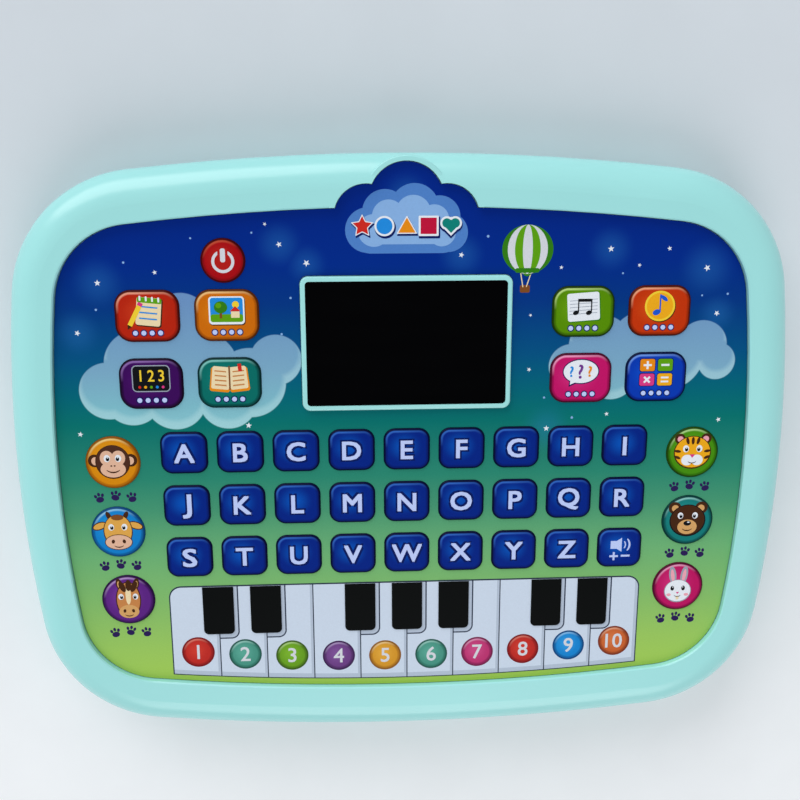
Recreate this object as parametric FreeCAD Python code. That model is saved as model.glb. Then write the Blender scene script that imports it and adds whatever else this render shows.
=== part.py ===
import FreeCAD
import Part
import math
import os

# Toy learning tablet, in millimetres. It lies on its back with its face up (+Z), and its top
# edge is towards +Y. The origin is under the middle of the body, on the surface it lies on.

Vector = FreeCAD.Vector

# Overall size of the body
WIDTH = 245.0
HEIGHT = 189.0
THICKNESS = 25.0

# Housing halves: the four sides are slightly bowed arcs that meet in large rounded corners
WALL = 2.2
PARTING_Z = 12.0
BEZEL_ROUND = 10.0
BACK_ROUND = 6.0
REAR_STEP = 0.3
LIP_GAP = 0.15
LIP_THICK = 1.1
LIP_RISE = 1.5
LIP_ROOT = 3.0
BOW_CENTRE_Y = 2.0
BODY = {
    "half_width": WIDTH / 2, "top": HEIGHT / 2, "bottom": -HEIGHT / 2,
    "side_bow": 430.0, "top_bow": 750.0, "bottom_bow": 780.0, "corner": 41.0,
}

# Recessed panel inside the bezel
BEZEL_SIDE = 14.5
BEZEL_TOP = 15.5
BEZEL_BOTTOM = 17.1
PANEL_DEPTH = 2.0
PANEL_WALL = 2.0
PANEL_CHAMFER = 0.4
NEAR_FULL = 0.999
PANEL = {
    "half_width": WIDTH / 2 - BEZEL_SIDE, "top": HEIGHT / 2 - BEZEL_TOP,
    "bottom": -HEIGHT / 2 + BEZEL_BOTTOM,
    "side_bow": 415.0, "top_bow": 735.0, "bottom_bow": 765.0, "corner": 24.5,
}

# Cloud-shaped badge place at the top of the panel: three round lobes inside a thin collar
CLOUD_LOBES = [(0.0, 80.9, 11.3), (-12.0, 76.0, 9.7), (12.0, 76.0, 9.7)]
COLLAR_WALL = 1.6
COLLAR_TOP = THICKNESS - 0.6
COLLAR_EDGE = 0.5

# Membrane stack on the deck, from the film downwards
FILM = 0.5
SPACER = 0.7
CIRCUIT = 0.2
FILM_MARGIN = 0.25
SHEET_MARGIN = 1.2
FILM_TOP = THICKNESS - PANEL_DEPTH
FILM_BOTTOM = FILM_TOP - FILM
SPACER_BOTTOM = FILM_BOTTOM - SPACER
DECK_TOP = SPACER_BOTTOM - CIRCUIT
DECK = 2.0
DECK_BOTTOM = DECK_TOP - DECK

# Key pads: each stands a little proud of the film and has a flange under it
KEY_PROUD = 0.5
KEY_EDGE = 0.4
KEY_GAP = 0.1
KEY_FLANGE = 0.5
KEY_FLANGE_THICK = 0.25
POCKET_GAP = 0.2
KEY_PITCH = 17.3
LETTER_COLUMNS = 9
LETTER_ROW_Y = 4.1
LETTER_KEY = (14.4, 13.3, 3.5)
MODE_KEY = (19.2, 15.6, 4.9)
MODE_X = (54.2, 77.9)
MODE_Y = (47.0, 26.2)
POWER_RADIUS = 6.6
POWER_PLACE = (-54.7, 63.4)
ANIMAL_RADIUS = 8.35
ANIMAL_PLACES = [(91.2, 1.4), (91.1, -21.5), (89.4, -44.6)]
MODE_NAMES = {
    (-1, 0): ("key_notepad", "key_display"), (-1, 1): ("key_card", "key_book"),
    (1, 0): ("key_song", "key_question"), (1, 1): ("key_tune", "key_sums"),
}
ANIMAL_NAMES = {
    -1: ("key_monkey", "key_calf", "key_foal"),
    1: ("key_tiger", "key_bear", "key_rabbit"),
}

# Piano strip embossed in the film
WHITE_KEYS = 10
PIANO_HALF_WIDTH = 76.2
PIANO_TOP = -41.0
PIANO_BOTTOM = -74.6
PIANO_END_BOTTOM = -71.2
PIANO_CORNER = 3.5
PIANO_RELIEF = 0.25
BLACK_KEY = (9.9, 16.4)
BLACK_RELIEF = 0.5
BLACK_CORNER = 1.6
BLACK_AFTER = (1, 2, 4, 5, 6, 8, 9)
GROOVE = 0.35

# Screen
SCREEN_Y = 37.8
RIM = (64.3, 41.4, 2.5)
RIM_WALL = 1.5
RIM_TOP = FILM_TOP + 1.5
RIM_EDGE = 0.6
RIM_GAP = 0.2
WINDOW_SINK = 0.4
WINDOW_THICK = 1.8
WINDOW_GAP = 0.1
WINDOW_CORNER = 1.2
SEAT = 2.6

# Ribs under the deck
DECK_RIB_X = (-88.0, -48.0, 48.0, 68.0, 88.0)
DECK_RIB_Y = (-62.0, 2.0)
DECK_RIB = (1.2, 2.6)
MERGE = 0.5

# Screws that join the halves, each in a well of the back
SCREW_PLACES = [(100.5, 72.5), (-100.5, 72.5), (100.5, -72.5), (-100.5, -72.5),
                (45.0, 82.5), (-45.0, 82.5), (42.0, -82.0), (-42.0, -82.0)]
WELL_RADIUS = 3.3
WELL_DEPTH = 7.0
WELL_FLOOR = 2.0
BOSS_RADIUS = 4.7
FRONT_BOSS_RADIUS = 3.5
SCREW_RADIUS = 1.3
SCREW_HEAD = (2.7, 1.8)
SCREW_LENGTH = 9.0
PILOT_GAP = 0.05
SLOT = (0.8, 0.9)
SLOT_SHARE = 0.62
HEAD_BEVEL = 0.4
TIP_SHARE = 0.2
SCREW_PLAY = 0.2

# Main board under the screen, hung on posts of the deck
BOARD = (88.0, 50.0, 1.6)
BOARD_TOP = 11.6
POST_PLACES = [(39.0, 57.5), (-39.0, 57.5), (39.0, 18.0), (-39.0, 18.0)]
POST_RADIUS = 2.8
BOARD_SCREW_RADIUS = 1.0
BOARD_SCREW_HEAD = (2.0, 1.4)
BOARD_SCREW_LENGTH = 6.0
DISPLAY = (59.0, 36.0)
DISPLAY_GAP = 0.3
LIGHT_COLUMNS = 9
LIGHT_ROWS = 5
LIGHT_PITCH = 6.2
LIGHT_WELL = (2.8, 0.6)
TAIL = (20.0, 14.2)
TAIL_BEND = 0.8
TAIL_SLOT = 3.4
TAIL_ROOM = 1.0
TAIL_GAP = (0.5, 0.2)
CONNECTOR = (24.0, 4.4, 3.6)
CHIP_BLOB = (9.0, 1.8)
CHIP_X = -12.0
CAPACITOR = (3.0, 6.0)
CAPACITOR_PLACE = (16.0, 8.0)
CRYSTAL = (10.0, 4.0, 1.9, 3.4)
CRYSTAL_PLACE = (14.0, -8.0)
LEAD_PLUG = (6.0, 6.0, 4.4)
LEAD_PLUG_PLACE = (27.0, 16.4)

# Battery bay in the back: three AA cells side by side along X
CELL_RADIUS = 7.25
CELL_LENGTH = 49.3
CELL_NUB = (2.75, 1.2)
CELL_PITCH = 15.3
CELL_COUNT = 3
CELL_EDGE = 0.5
NUB_PLAY = 0.1
CELL_Z = 10.4
BAY_CENTRE_Y = -36.0
BAY = (58.6, 46.6)
BAY_TOP = 18.0
BAY_WALL = 1.4
BAY_END = 4.5
CONTACT = (0.4, 10.0, 11.0)
CONTACT_TAB = (3.6, 3.0, 0.4)
TAB_Z = 16.2
TAB_PLAY = 0.1
TAB_SLOT = 3.0
SPRING_STRIP = (0.4, 5.0)
SPRING_FOOT = 4.2
SPRING_PLAY = 0.1

# Battery door: hooked by two tongues at its upper edge, held by one screw at its lower edge
DOOR_THICK = 2.0
DOOR_SINK = 0.4
DOOR_LEDGE = 3.0
DOOR_SCREW_LEDGE = 10.4
DOOR_GAP = 0.25
DOOR_TOP_GAP = 0.1
PAD_TOP = 4.4
PAD_RIM = 3.0
TONGUE = (8.0, 3.0, 1.2)
TONGUE_X = 18.0
TONGUE_GAP = 0.4
TONGUE_ROOM = 7.4
TONGUE_ROOT = 3.5
TONGUE_BACK = 0.4
TONGUE_LIFT = 0.2
DOOR_BOSS = (4.2, 4.6)
DOOR_HEAD_SEAT = 2.2
DOOR_SCREW_TIP = 8.0
DOOR_SCREW_Y = 5.2
DOOR_POST = (5.4, 1.5)
DOOR_CORNER = 2.0
DOOR_SCREW_PLAY = 0.5
DOOR_HOLE_PLAY = 0.1
DOOR_HEAD_PLAY = 0.3
DOOR_HEAD = 1.5
BOSS_PLAY = (0.5, 0.4)
GRIP_RIBS = 5
GRIP_PITCH = 3.0
GRIP = (24.0, 1.0, 0.4)
GRIP_START = 14.0

# Speaker and its grille
SPEAKER_PLACE = (-70.0, -36.0)
SPEAKER_RADIUS = 20.0
SPEAKER_GAP = 0.1
MAGNET = (11.0, 9.2, 5.4)
BASKET = (16.0, 3.2)
SPEAKER_EDGE = 1.6
SURROUND = (2.0, 3.0, 0.8)
CONE = (8.0, 3.4)
DUST_CAP = (5.0, 2.2, 1.4)
SPEAKER_RING = (20.4, 1.4, 4.0)
GRILLE_HOLE = 1.3
GRILLE_PITCH = 4.6
GRILLE_RADIUS = 15.0
WIRE_RADIUS = 0.65
WIRE_BEND = 4.0
WIRE_GAP = 0.05
BATTERY_WIRE_X = 1.8
BATTERY_WIRE_OUT = 7.0
BATTERY_WIRE_PASS = 6.0
BATTERY_WIRE_RISE = 11.0
SPEAKER_WIRE_PITCH = 1.8
SPEAKER_WIRE_START = (3.0, 3.0, 0.1)
SPEAKER_WIRE_LIFT = 5.5
SPEAKER_WIRE_RUN = (9.0, 30.0)
SPEAKER_WIRE_RISE = 7.0
SPEAKER_WIRE_X = -2.0


def circle_crossing(centre_a, radius_a, centre_b, radius_b, near):
    """The crossing of two circles that lies nearest to a given point."""
    span = centre_b - centre_a
    distance = span.Length
    along = (radius_a ** 2 - radius_b ** 2 + distance ** 2) / (2 * distance)
    rise = math.sqrt(radius_a ** 2 - along ** 2)
    unit = Vector(span).multiply(1 / distance)
    foot = centre_a + unit * along
    across = Vector(-unit.y, unit.x, 0) * rise
    return min((foot + across, foot - across), key=lambda point: point.distanceToPoint(near))


def edges_at(shape, z):
    """The edges of a shape that lie flat at one height."""
    level = []
    for edge in shape.Edges:
        middle = edge.valueAt((edge.FirstParameter + edge.LastParameter) / 2)
        heights = [vertex.Z for vertex in edge.Vertexes] + [middle.z]
        if all(abs(height - z) < 1e-4 for height in heights):
            level.append(edge)
    return level


def upright_edges(shape):
    """The straight edges of a shape that run along Z."""
    upright = []
    for edge in shape.Edges:
        low, high = edge.firstVertex().Point, edge.lastVertex().Point
        if abs(low.x - high.x) < 1e-6 and abs(low.y - high.y) < 1e-6 and abs(low.z - high.z) > 1e-6:
            upright.append(edge)
    return upright


def corner_arc(centre_a, radius_a, centre_b, radius_b, corner, near):
    """Start, middle and end of the round corner inside two larger arcs that it touches."""
    centre = circle_crossing(centre_a, radius_a - corner, centre_b, radius_b - corner, near)
    start = centre_a + (centre - centre_a).normalize() * radius_a
    end = centre_b + (centre - centre_b).normalize() * radius_b
    middle = centre + ((start - centre) + (end - centre)).normalize() * corner
    return start, middle, end


def mirrored(points):
    """The same stretch on the other side of the YZ plane, in the reverse order."""
    return [Vector(-point.x, point.y, point.z) for point in reversed(points)]


def bowed_prism(outline, inset, z_low, z_high):
    """A plate with four bowed sides and round corners, shrunk all round by an inset."""
    half_width = outline["half_width"] - inset
    top = outline["top"] - inset
    bottom = outline["bottom"] + inset
    corner = outline["corner"] - inset
    side_radius = outline["side_bow"] - inset
    top_radius = outline["top_bow"] - inset
    bottom_radius = outline["bottom_bow"] - inset
    side_centre = Vector(half_width - side_radius, BOW_CENTRE_Y, 0)
    top_centre = Vector(0, top - top_radius, 0)
    bottom_centre = Vector(0, bottom + bottom_radius, 0)
    upper = corner_arc(side_centre, side_radius, top_centre, top_radius, corner,
                       Vector(half_width, top, 0))
    lower = corner_arc(bottom_centre, bottom_radius, side_centre, side_radius, corner,
                       Vector(half_width, bottom, 0))
    side = [lower[-1], Vector(half_width, BOW_CENTRE_Y, 0), upper[0]]
    over = [upper[-1], Vector(0, top, 0), mirrored(upper)[0]]
    under = [mirrored(lower)[-1], Vector(0, bottom, 0), lower[0]]
    stretches = [lower, side, upper, over, mirrored(upper), mirrored(side), mirrored(lower), under]
    wire = Part.Wire([Part.Arc(*points).toShape() for points in stretches])
    prism = Part.Face(wire).extrude(Vector(0, 0, z_high - z_low))
    prism.translate(Vector(0, 0, z_low))
    return prism


def cloud_prism(grow, z_low, z_high):
    """The three joined lobes of the cloud, grown all round."""
    lobes = [Part.makeCylinder(radius + grow, z_high - z_low, Vector(x, y, z_low))
             for x, y, radius in CLOUD_LOBES]
    return lobes[0].fuse(lobes[1:]).removeSplitter()


def rounded_plate(width, length, corner, z_low, z_high):
    """A plate centred on the Z axis with round corners."""
    plate = Part.makeBox(width, length, z_high - z_low, Vector(-width / 2, -length / 2, z_low))
    return plate.makeFillet(corner, upright_edges(plate))


def block(x_low, x_high, y_low, y_high, z_low, z_high):
    """A box between two corners."""
    return Part.makeBox(x_high - x_low, y_high - y_low, z_high - z_low, Vector(x_low, y_low, z_low))


def key_outline(family, grow, z_low, z_high):
    """The upright prism of one kind of key, grown all round."""
    if family == "letter":
        width, length, corner = LETTER_KEY
        return rounded_plate(width + 2 * grow, length + 2 * grow, corner + grow, z_low, z_high)
    if family == "mode":
        width, length, corner = MODE_KEY
        return rounded_plate(width + 2 * grow, length + 2 * grow, corner + grow, z_low, z_high)
    radius = POWER_RADIUS if family == "power" else ANIMAL_RADIUS
    return Part.makeCylinder(radius + grow, z_high - z_low, Vector(0, 0, z_low))


def key_places():
    """Name, kind and place of every key pad."""
    places = []
    names = ["key_" + letter for letter in "abcdefghijklmnopqrstuvwxyz"] + ["key_volume"]
    for index, name in enumerate(names):
        row, column = divmod(index, LETTER_COLUMNS)
        x = (column - (LETTER_COLUMNS - 1) / 2) * KEY_PITCH
        places.append((name, "letter", x, LETTER_ROW_Y - row * KEY_PITCH))
    for (side, column), pair in MODE_NAMES.items():
        order = MODE_X if side > 0 else MODE_X[::-1]
        for row, name in enumerate(pair):
            places.append((name, "mode", side * order[column], MODE_Y[row]))
    for side, trio in ANIMAL_NAMES.items():
        for (x, y), name in zip(ANIMAL_PLACES, trio):
            places.append((name, "animal", side * x, y))
    places.append(("key_power", "power", *POWER_PLACE))
    return places


def key_pad(family):
    """A pad with a broken top edge, and the flange that the film holds down."""
    top = FILM_TOP + KEY_PROUD
    cap = key_outline(family, 0, FILM_BOTTOM, top)
    cap = cap.makeChamfer(KEY_EDGE, edges_at(cap, top))
    flange = key_outline(family, KEY_FLANGE, FILM_BOTTOM - KEY_FLANGE_THICK, FILM_BOTTOM)
    return cap.fuse(flange)


def key_holes(grow, z_low, z_high):
    """One prism for every key, for cutting the sheets of the membrane."""
    prisms = []
    for name, family, x, y in key_places():
        prism = key_outline(family, grow, z_low, z_high)
        prism.translate(Vector(x, y, 0))
        prisms.append(prism)
    return prisms


def screen_block(grow, corner, z_low, z_high):
    """An upright prism with the outline of the screen rim, grown all round."""
    plate = rounded_plate(RIM[0] + 2 * grow, RIM[1] + 2 * grow, corner, z_low, z_high)
    plate.translate(Vector(0, SCREEN_Y, 0))
    return plate


def screw_well_places():
    return [Vector(x, y, 0) for x, y in SCREW_PLACES]


def front_housing():
    """Bezel with a large round-over, recessed deck, cloud collar, screen rim, bosses and posts."""
    outer = bowed_prism(BODY, 0, PARTING_Z, THICKNESS)
    outer = outer.makeFillet(BEZEL_ROUND, edges_at(outer, THICKNESS))
    collar = cloud_prism(COLLAR_WALL, PARTING_Z + WALL, COLLAR_TOP)
    collar = collar.makeFillet(COLLAR_EDGE, edges_at(collar, COLLAR_TOP))
    hollow = bowed_prism(BODY, WALL, PARTING_Z - 1, THICKNESS - WALL)
    hollow = hollow.makeFillet(BEZEL_ROUND - WALL, edges_at(hollow, THICKNESS - WALL))
    core = bowed_prism(PANEL, -PANEL_WALL, DECK_BOTTOM, THICKNESS)
    core = core.fuse(cloud_prism(COLLAR_WALL, DECK_BOTTOM, THICKNESS))
    recess = bowed_prism(PANEL, 0, DECK_TOP, THICKNESS + 1)
    recess = recess.fuse(cloud_prism(0, DECK_TOP, THICKNESS + 1))
    flare = bowed_prism(PANEL, -PANEL_CHAMFER, THICKNESS - PANEL_CHAMFER, THICKNESS + 1)
    flare = flare.makeChamfer(PANEL_CHAMFER * NEAR_FULL, edges_at(flare, THICKNESS - PANEL_CHAMFER))
    flare = flare.cut(cloud_prism(COLLAR_WALL, DECK_TOP, THICKNESS + 2))
    shell = outer.fuse(collar).cut(hollow.cut(core)).cut([recess, flare])

    rim = screen_block(0, RIM[2], DECK_BOTTOM, RIM_TOP)
    rim = rim.makeFillet(RIM_EDGE, edges_at(rim, RIM_TOP))
    bosses = []
    pilots = []
    boss_low = WELL_DEPTH + WELL_FLOOR
    boss_high = THICKNESS - WALL / 2
    for place in screw_well_places():
        bosses.append(Part.makeCylinder(FRONT_BOSS_RADIUS, boss_high - boss_low,
                                        place + Vector(0, 0, boss_low)))
        pilots.append(Part.makeCylinder(SCREW_RADIUS + PILOT_GAP, SCREW_LENGTH,
                                        place + Vector(0, 0, boss_low - 1)))
    for x, y in POST_PLACES:
        bosses.append(Part.makeCylinder(POST_RADIUS, DECK_BOTTOM + MERGE - BOARD_TOP,
                                        Vector(x, y, BOARD_TOP)))
        pilots.append(Part.makeCylinder(BOARD_SCREW_RADIUS + PILOT_GAP, BOARD_SCREW_LENGTH,
                                        Vector(x, y, BOARD_TOP - 1)))
    rib_thick, rib_drop = DECK_RIB
    for x in DECK_RIB_X:
        bosses.append(block(x - rib_thick / 2, x + rib_thick / 2, *DECK_RIB_Y,
                            DECK_BOTTOM - rib_drop, DECK_BOTTOM + MERGE))

    window_low = RIM_TOP - WINDOW_SINK - WINDOW_THICK
    pocket = screen_block(-RIM_WALL, WINDOW_CORNER, window_low, RIM_TOP + 1)
    opening = screen_block(-RIM_WALL - SEAT, WINDOW_CORNER, DECK_BOTTOM - 1, RIM_TOP)
    slot_half = TAIL[0] / 2 + TAIL_ROOM
    tail_slot = block(-slot_half, slot_half, TAIL[1] - TAIL_SLOT / 2, TAIL[1] + TAIL_SLOT / 2,
                      DECK_BOTTOM - 1, DECK_TOP + 1)
    return shell.fuse([rim] + bosses).cut(pilots + [pocket, opening, tail_slot]).removeSplitter()


def screen_window():
    """Smoked window that drops into the rim and sits on its ledge."""
    high = RIM_TOP - WINDOW_SINK
    return screen_block(-RIM_WALL - WINDOW_GAP, WINDOW_CORNER, high - WINDOW_THICK, high)


def piano_strip(z_low, z_high):
    """The keyboard's outline: straight top with round corners, bottom edge a shallow arc."""
    left_top = Vector(-PIANO_HALF_WIDTH, PIANO_TOP, 0)
    right_top = Vector(PIANO_HALF_WIDTH, PIANO_TOP, 0)
    left_low = Vector(-PIANO_HALF_WIDTH, PIANO_END_BOTTOM, 0)
    right_low = Vector(PIANO_HALF_WIDTH, PIANO_END_BOTTOM, 0)
    edges = [
        Part.makeLine(right_low, right_top), Part.makeLine(right_top, left_top),
        Part.makeLine(left_top, left_low),
        Part.Arc(left_low, Vector(0, PIANO_BOTTOM, 0), right_low).toShape(),
    ]
    strip = Part.Face(Part.Wire(edges)).extrude(Vector(0, 0, z_high - z_low))
    strip.translate(Vector(0, 0, z_low))
    corners = [edge for edge in upright_edges(strip) if edge.firstVertex().Y > PIANO_TOP - 1]
    return strip.makeFillet(PIANO_CORNER, corners)


def graphic_overlay():
    """Printed film with the piano keys embossed, cut out round the keys and the screen rim."""
    film = bowed_prism(PANEL, FILM_MARGIN, FILM_BOTTOM, FILM_TOP)
    film = film.fuse(cloud_prism(-FILM_MARGIN, FILM_BOTTOM, FILM_TOP))
    relief_top = FILM_TOP + PIANO_RELIEF
    strip = piano_strip(FILM_BOTTOM, relief_top)
    pitch = 2 * PIANO_HALF_WIDTH / WHITE_KEYS
    width, length = BLACK_KEY
    grooves = []
    blacks = []
    for after in range(1, WHITE_KEYS):
        x = -PIANO_HALF_WIDTH + after * pitch
        high = PIANO_TOP + 1
        if after in BLACK_AFTER:
            black = block(x - width / 2, x + width / 2, PIANO_TOP - length, PIANO_TOP,
                          FILM_BOTTOM, FILM_TOP + BLACK_RELIEF)
            low_corners = [edge for edge in upright_edges(black) if edge.firstVertex().Y < PIANO_TOP - 1]
            blacks.append(black.makeFillet(BLACK_CORNER, low_corners))
            high = PIANO_TOP - length
        grooves.append(block(x - GROOVE / 2, x + GROOVE / 2, PIANO_BOTTOM - 1, high,
                             FILM_TOP, relief_top + 1))
    strip = strip.cut(grooves)
    film = film.fuse([strip] + blacks)
    rim_hole = screen_block(RIM_GAP, RIM[2] + RIM_GAP, FILM_BOTTOM - 1, FILM_TOP + 1)
    holes = key_holes(KEY_GAP, FILM_BOTTOM - 1, FILM_TOP + 1)
    return film.cut(holes + [rim_hole]).removeSplitter()


def spacer_sheet():
    """Layer that leaves a pocket under every key for its flange to travel in."""
    sheet = bowed_prism(PANEL, SHEET_MARGIN, SPACER_BOTTOM, FILM_BOTTOM)
    rim_hole = screen_block(RIM_GAP, RIM[2] + RIM_GAP, SPACER_BOTTOM - 1, FILM_TOP)
    holes = key_holes(KEY_FLANGE + POCKET_GAP, SPACER_BOTTOM - 1, FILM_TOP)
    return sheet.cut(holes + [rim_hole])


def circuit_sheet():
    """Contact sheet on the deck; its tail turns down through the deck to the board's connector."""
    sheet = bowed_prism(PANEL, SHEET_MARGIN, DECK_TOP, SPACER_BOTTOM)
    rim_hole = screen_block(RIM_GAP, RIM[2] + RIM_GAP, DECK_TOP - 1, FILM_TOP)
    half, tail_y = TAIL[0] / 2, TAIL[1]
    side_gap, end_gap = TAIL_GAP
    relief = block(-half - side_gap, half + side_gap, tail_y - TAIL_BEND - CIRCUIT,
                   tail_y + TAIL_SLOT / 2 - end_gap, DECK_TOP - 1, FILM_TOP)
    inner, outer = TAIL_BEND, TAIL_BEND + CIRCUIT
    centre_y = tail_y - outer
    centre_z = DECK_TOP - TAIL_BEND
    bend = Part.makeCylinder(outer, 2 * half, Vector(-half, centre_y, centre_z), Vector(1, 0, 0))
    bend = bend.cut(Part.makeCylinder(inner, 2 * half, Vector(-half, centre_y, centre_z), Vector(1, 0, 0)))
    bend = bend.common(block(-half, half, centre_y, centre_y + outer, centre_z, centre_z + outer))
    drop = block(-half, half, centre_y + inner, centre_y + outer, BOARD_TOP + CONNECTOR[2], centre_z)
    return sheet.cut([rim_hole, relief]).fuse([bend, drop]).removeSplitter()


def display_module():
    """Light matrix soldered to the board behind the window, with a square well for every light."""
    high = DECK_BOTTOM - DISPLAY_GAP
    body = block(-DISPLAY[0] / 2, DISPLAY[0] / 2, SCREEN_Y - DISPLAY[1] / 2, SCREEN_Y + DISPLAY[1] / 2,
                 BOARD_TOP, high)
    half, depth = LIGHT_WELL[0] / 2, LIGHT_WELL[1]
    wells = []
    for row in range(LIGHT_ROWS):
        for column in range(LIGHT_COLUMNS):
            x = (column - (LIGHT_COLUMNS - 1) / 2) * LIGHT_PITCH
            y = SCREEN_Y + (row - (LIGHT_ROWS - 1) / 2) * LIGHT_PITCH
            wells.append(block(x - half, x + half, y - half, y + half, high - depth, high + 1))
    return body.cut(wells)


def lead_plug(side):
    """Socket on the board for the leads of one side."""
    x, y = side * LEAD_PLUG_PLACE[0], LEAD_PLUG_PLACE[1]
    width, length, rise = LEAD_PLUG
    return block(x - width / 2, x + width / 2, y - length / 2, y + length / 2, BOARD_TOP, BOARD_TOP + rise)


def main_board():
    """Board with the tail connector, two lead sockets, a capacitor and the potted chip below."""
    width, length, thick = BOARD
    low = BOARD_TOP - thick
    board = block(-width / 2, width / 2, SCREEN_Y - length / 2, SCREEN_Y + length / 2, low, BOARD_TOP)
    connector_y = TAIL[1] - CIRCUIT / 2
    connector = block(-CONNECTOR[0] / 2, CONNECTOR[0] / 2, connector_y - CONNECTOR[1] / 2,
                      connector_y + CONNECTOR[1] / 2, BOARD_TOP, BOARD_TOP + CONNECTOR[2])
    blob_radius, blob_drop = CHIP_BLOB
    chip = Part.makeSphere(blob_radius, Vector(CHIP_X, SCREEN_Y, low + blob_radius - blob_drop))
    below = Part.makeCylinder(blob_radius, blob_radius, Vector(CHIP_X, SCREEN_Y, low - blob_radius))
    chip = chip.common(below)
    can_radius, can_length = CAPACITOR
    can_x, can_y = CAPACITOR_PLACE
    capacitor = Part.makeCylinder(can_radius, can_length, Vector(can_x, SCREEN_Y + can_y, low - can_length))
    crystal_width, crystal_length, crystal_corner, crystal_drop = CRYSTAL
    crystal = rounded_plate(crystal_width, crystal_length, crystal_corner, low - crystal_drop, low)
    crystal.translate(Vector(CRYSTAL_PLACE[0], SCREEN_Y + CRYSTAL_PLACE[1], 0))
    holes = [Part.makeCylinder(BOARD_SCREW_RADIUS + SCREW_PLAY, thick + 2, Vector(x, y, low - 1))
             for x, y in POST_PLACES]
    fitted = board.fuse([connector, lead_plug(-1), lead_plug(1), chip, capacitor, crystal])
    return fitted.cut(holes).removeSplitter()


def screw(radius, head, length, z_seat):
    """Pan-head screw pointing up, head seated at a height, with a cross slot."""
    head_radius, head_thick = head
    cap = Part.makeCylinder(head_radius, head_thick, Vector(0, 0, z_seat - head_thick))
    cap = cap.makeChamfer(head_thick * HEAD_BEVEL, edges_at(cap, z_seat - head_thick))
    shank = Part.makeCylinder(radius, length - radius, Vector(0, 0, z_seat))
    tip = Part.makeCone(radius, radius * TIP_SHARE, radius, Vector(0, 0, z_seat + length - radius))
    width, depth = SLOT
    reach = head_radius * SLOT_SHARE
    low = z_seat - head_thick - 1
    cross = [block(-reach, reach, -width / 2, width / 2, low, low + 1 + depth),
             block(-width / 2, width / 2, -reach, reach, low, low + 1 + depth)]
    return cap.fuse([shank, tip]).cut(cross).removeSplitter()


def copies(shape, places):
    """One compound of equal solids, moved to a list of places."""
    solids = []
    for place in places:
        solid = shape.copy()
        solid.translate(place)
        solids.append(solid)
    return Part.makeCompound(solids)


def housing_screws():
    return copies(screw(SCREW_RADIUS, SCREW_HEAD, SCREW_LENGTH, WELL_DEPTH), screw_well_places())


def board_screws():
    seat = BOARD_TOP - BOARD[2]
    places = [Vector(x, y, 0) for x, y in POST_PLACES]
    return copies(screw(BOARD_SCREW_RADIUS, BOARD_SCREW_HEAD, BOARD_SCREW_LENGTH, seat), places)


def bay_edges():
    """Low and high sides of the battery bay in Y."""
    return BAY_CENTRE_Y - BAY[1] / 2, BAY_CENTRE_Y + BAY[1] / 2


def door_recess():
    """Half width, low side and high side of the recess that takes the door."""
    low, high = bay_edges()
    return BAY[0] / 2 + DOOR_LEDGE, low - DOOR_SCREW_LEDGE, high + DOOR_LEDGE


def door_screw_place():
    half, low, high = door_recess()
    return Vector(0, low + DOOR_SCREW_Y, 0)


def hinge_line():
    """Y and Z of the door's rounded upper edge, the line it tilts about."""
    half, low, high = door_recess()
    return high - DOOR_TOP_GAP - DOOR_THICK / 2, DOOR_SINK + DOOR_THICK / 2


def battery_bay():
    """Solids to add to the back and solids to cut from it for the battery bay and its door."""
    bay_low, bay_high = bay_edges()
    half, low, high = door_recess()
    bay_half = BAY[0] / 2
    pad = block(-half - PAD_RIM, half + PAD_RIM, low - PAD_RIM, high + PAD_RIM, 0, PAD_TOP)
    walls = block(-bay_half - BAY_WALL, bay_half + BAY_WALL, bay_low - BAY_WALL, bay_high + BAY_WALL,
                  0, BAY_TOP + BAY_WALL)
    screw_place = door_screw_place()
    post = Part.makeCylinder(DOOR_POST[0], DOOR_SCREW_TIP + DOOR_POST[1], screw_place)
    seat_z = DOOR_SINK + DOOR_THICK + DOOR_TOP_GAP
    recess = block(-half, half, low, high, -1, seat_z)
    bay = block(-bay_half, bay_half, bay_low, bay_high, 0, CELL_Z)
    cradles = []
    for cell_y in cell_rows():
        cradles.append(Part.makeCylinder(BAY_TOP - CELL_Z, BAY[0], Vector(-bay_half, cell_y, CELL_Z),
                                         Vector(1, 0, 0)))
    ends = [block(side * bay_half - BAY_END, side * bay_half + BAY_END, bay_low, bay_high, 0, BAY_TOP)
            for side in (-1, 1)]
    inside = block(-bay_half, bay_half, bay_low, bay_high, 0, BAY_TOP)
    ends = [end.common(inside) for end in ends]
    screw_hole = Part.makeCylinder(SCREW_RADIUS + DOOR_SCREW_PLAY, DOOR_SCREW_TIP, screw_place)
    boss_room = Part.makeCylinder(DOOR_BOSS[0] + BOSS_PLAY[0], DOOR_BOSS[1] + BOSS_PLAY[1], screw_place)
    tongue_slots = []
    tab_slots = []
    for side in (-1, 1):
        x = side * TONGUE_X
        reach = TONGUE[0] / 2 + TONGUE_GAP
        tongue_slots.append(block(x - reach, x + reach, bay_high - 2, high + TONGUE[1] + TONGUE_GAP,
                                  seat_z - MERGE, TONGUE_ROOM))
        slot_x = side * (bay_half + BAY_WALL / 2)
        slot_half = CONTACT_TAB[1] / 2 + TAB_PLAY
        for cell_y in cell_rows():
            tab_slots.append(block(slot_x - TAB_SLOT / 2, slot_x + TAB_SLOT / 2, cell_y - slot_half,
                                   cell_y + slot_half, TAB_Z - TAB_PLAY, TAB_Z + CONTACT_TAB[2] + TAB_PLAY))
    added = [pad, walls, post]
    removed = [recess, bay, screw_hole, boss_room] + cradles + ends + tongue_slots + tab_slots
    return added, removed


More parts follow.
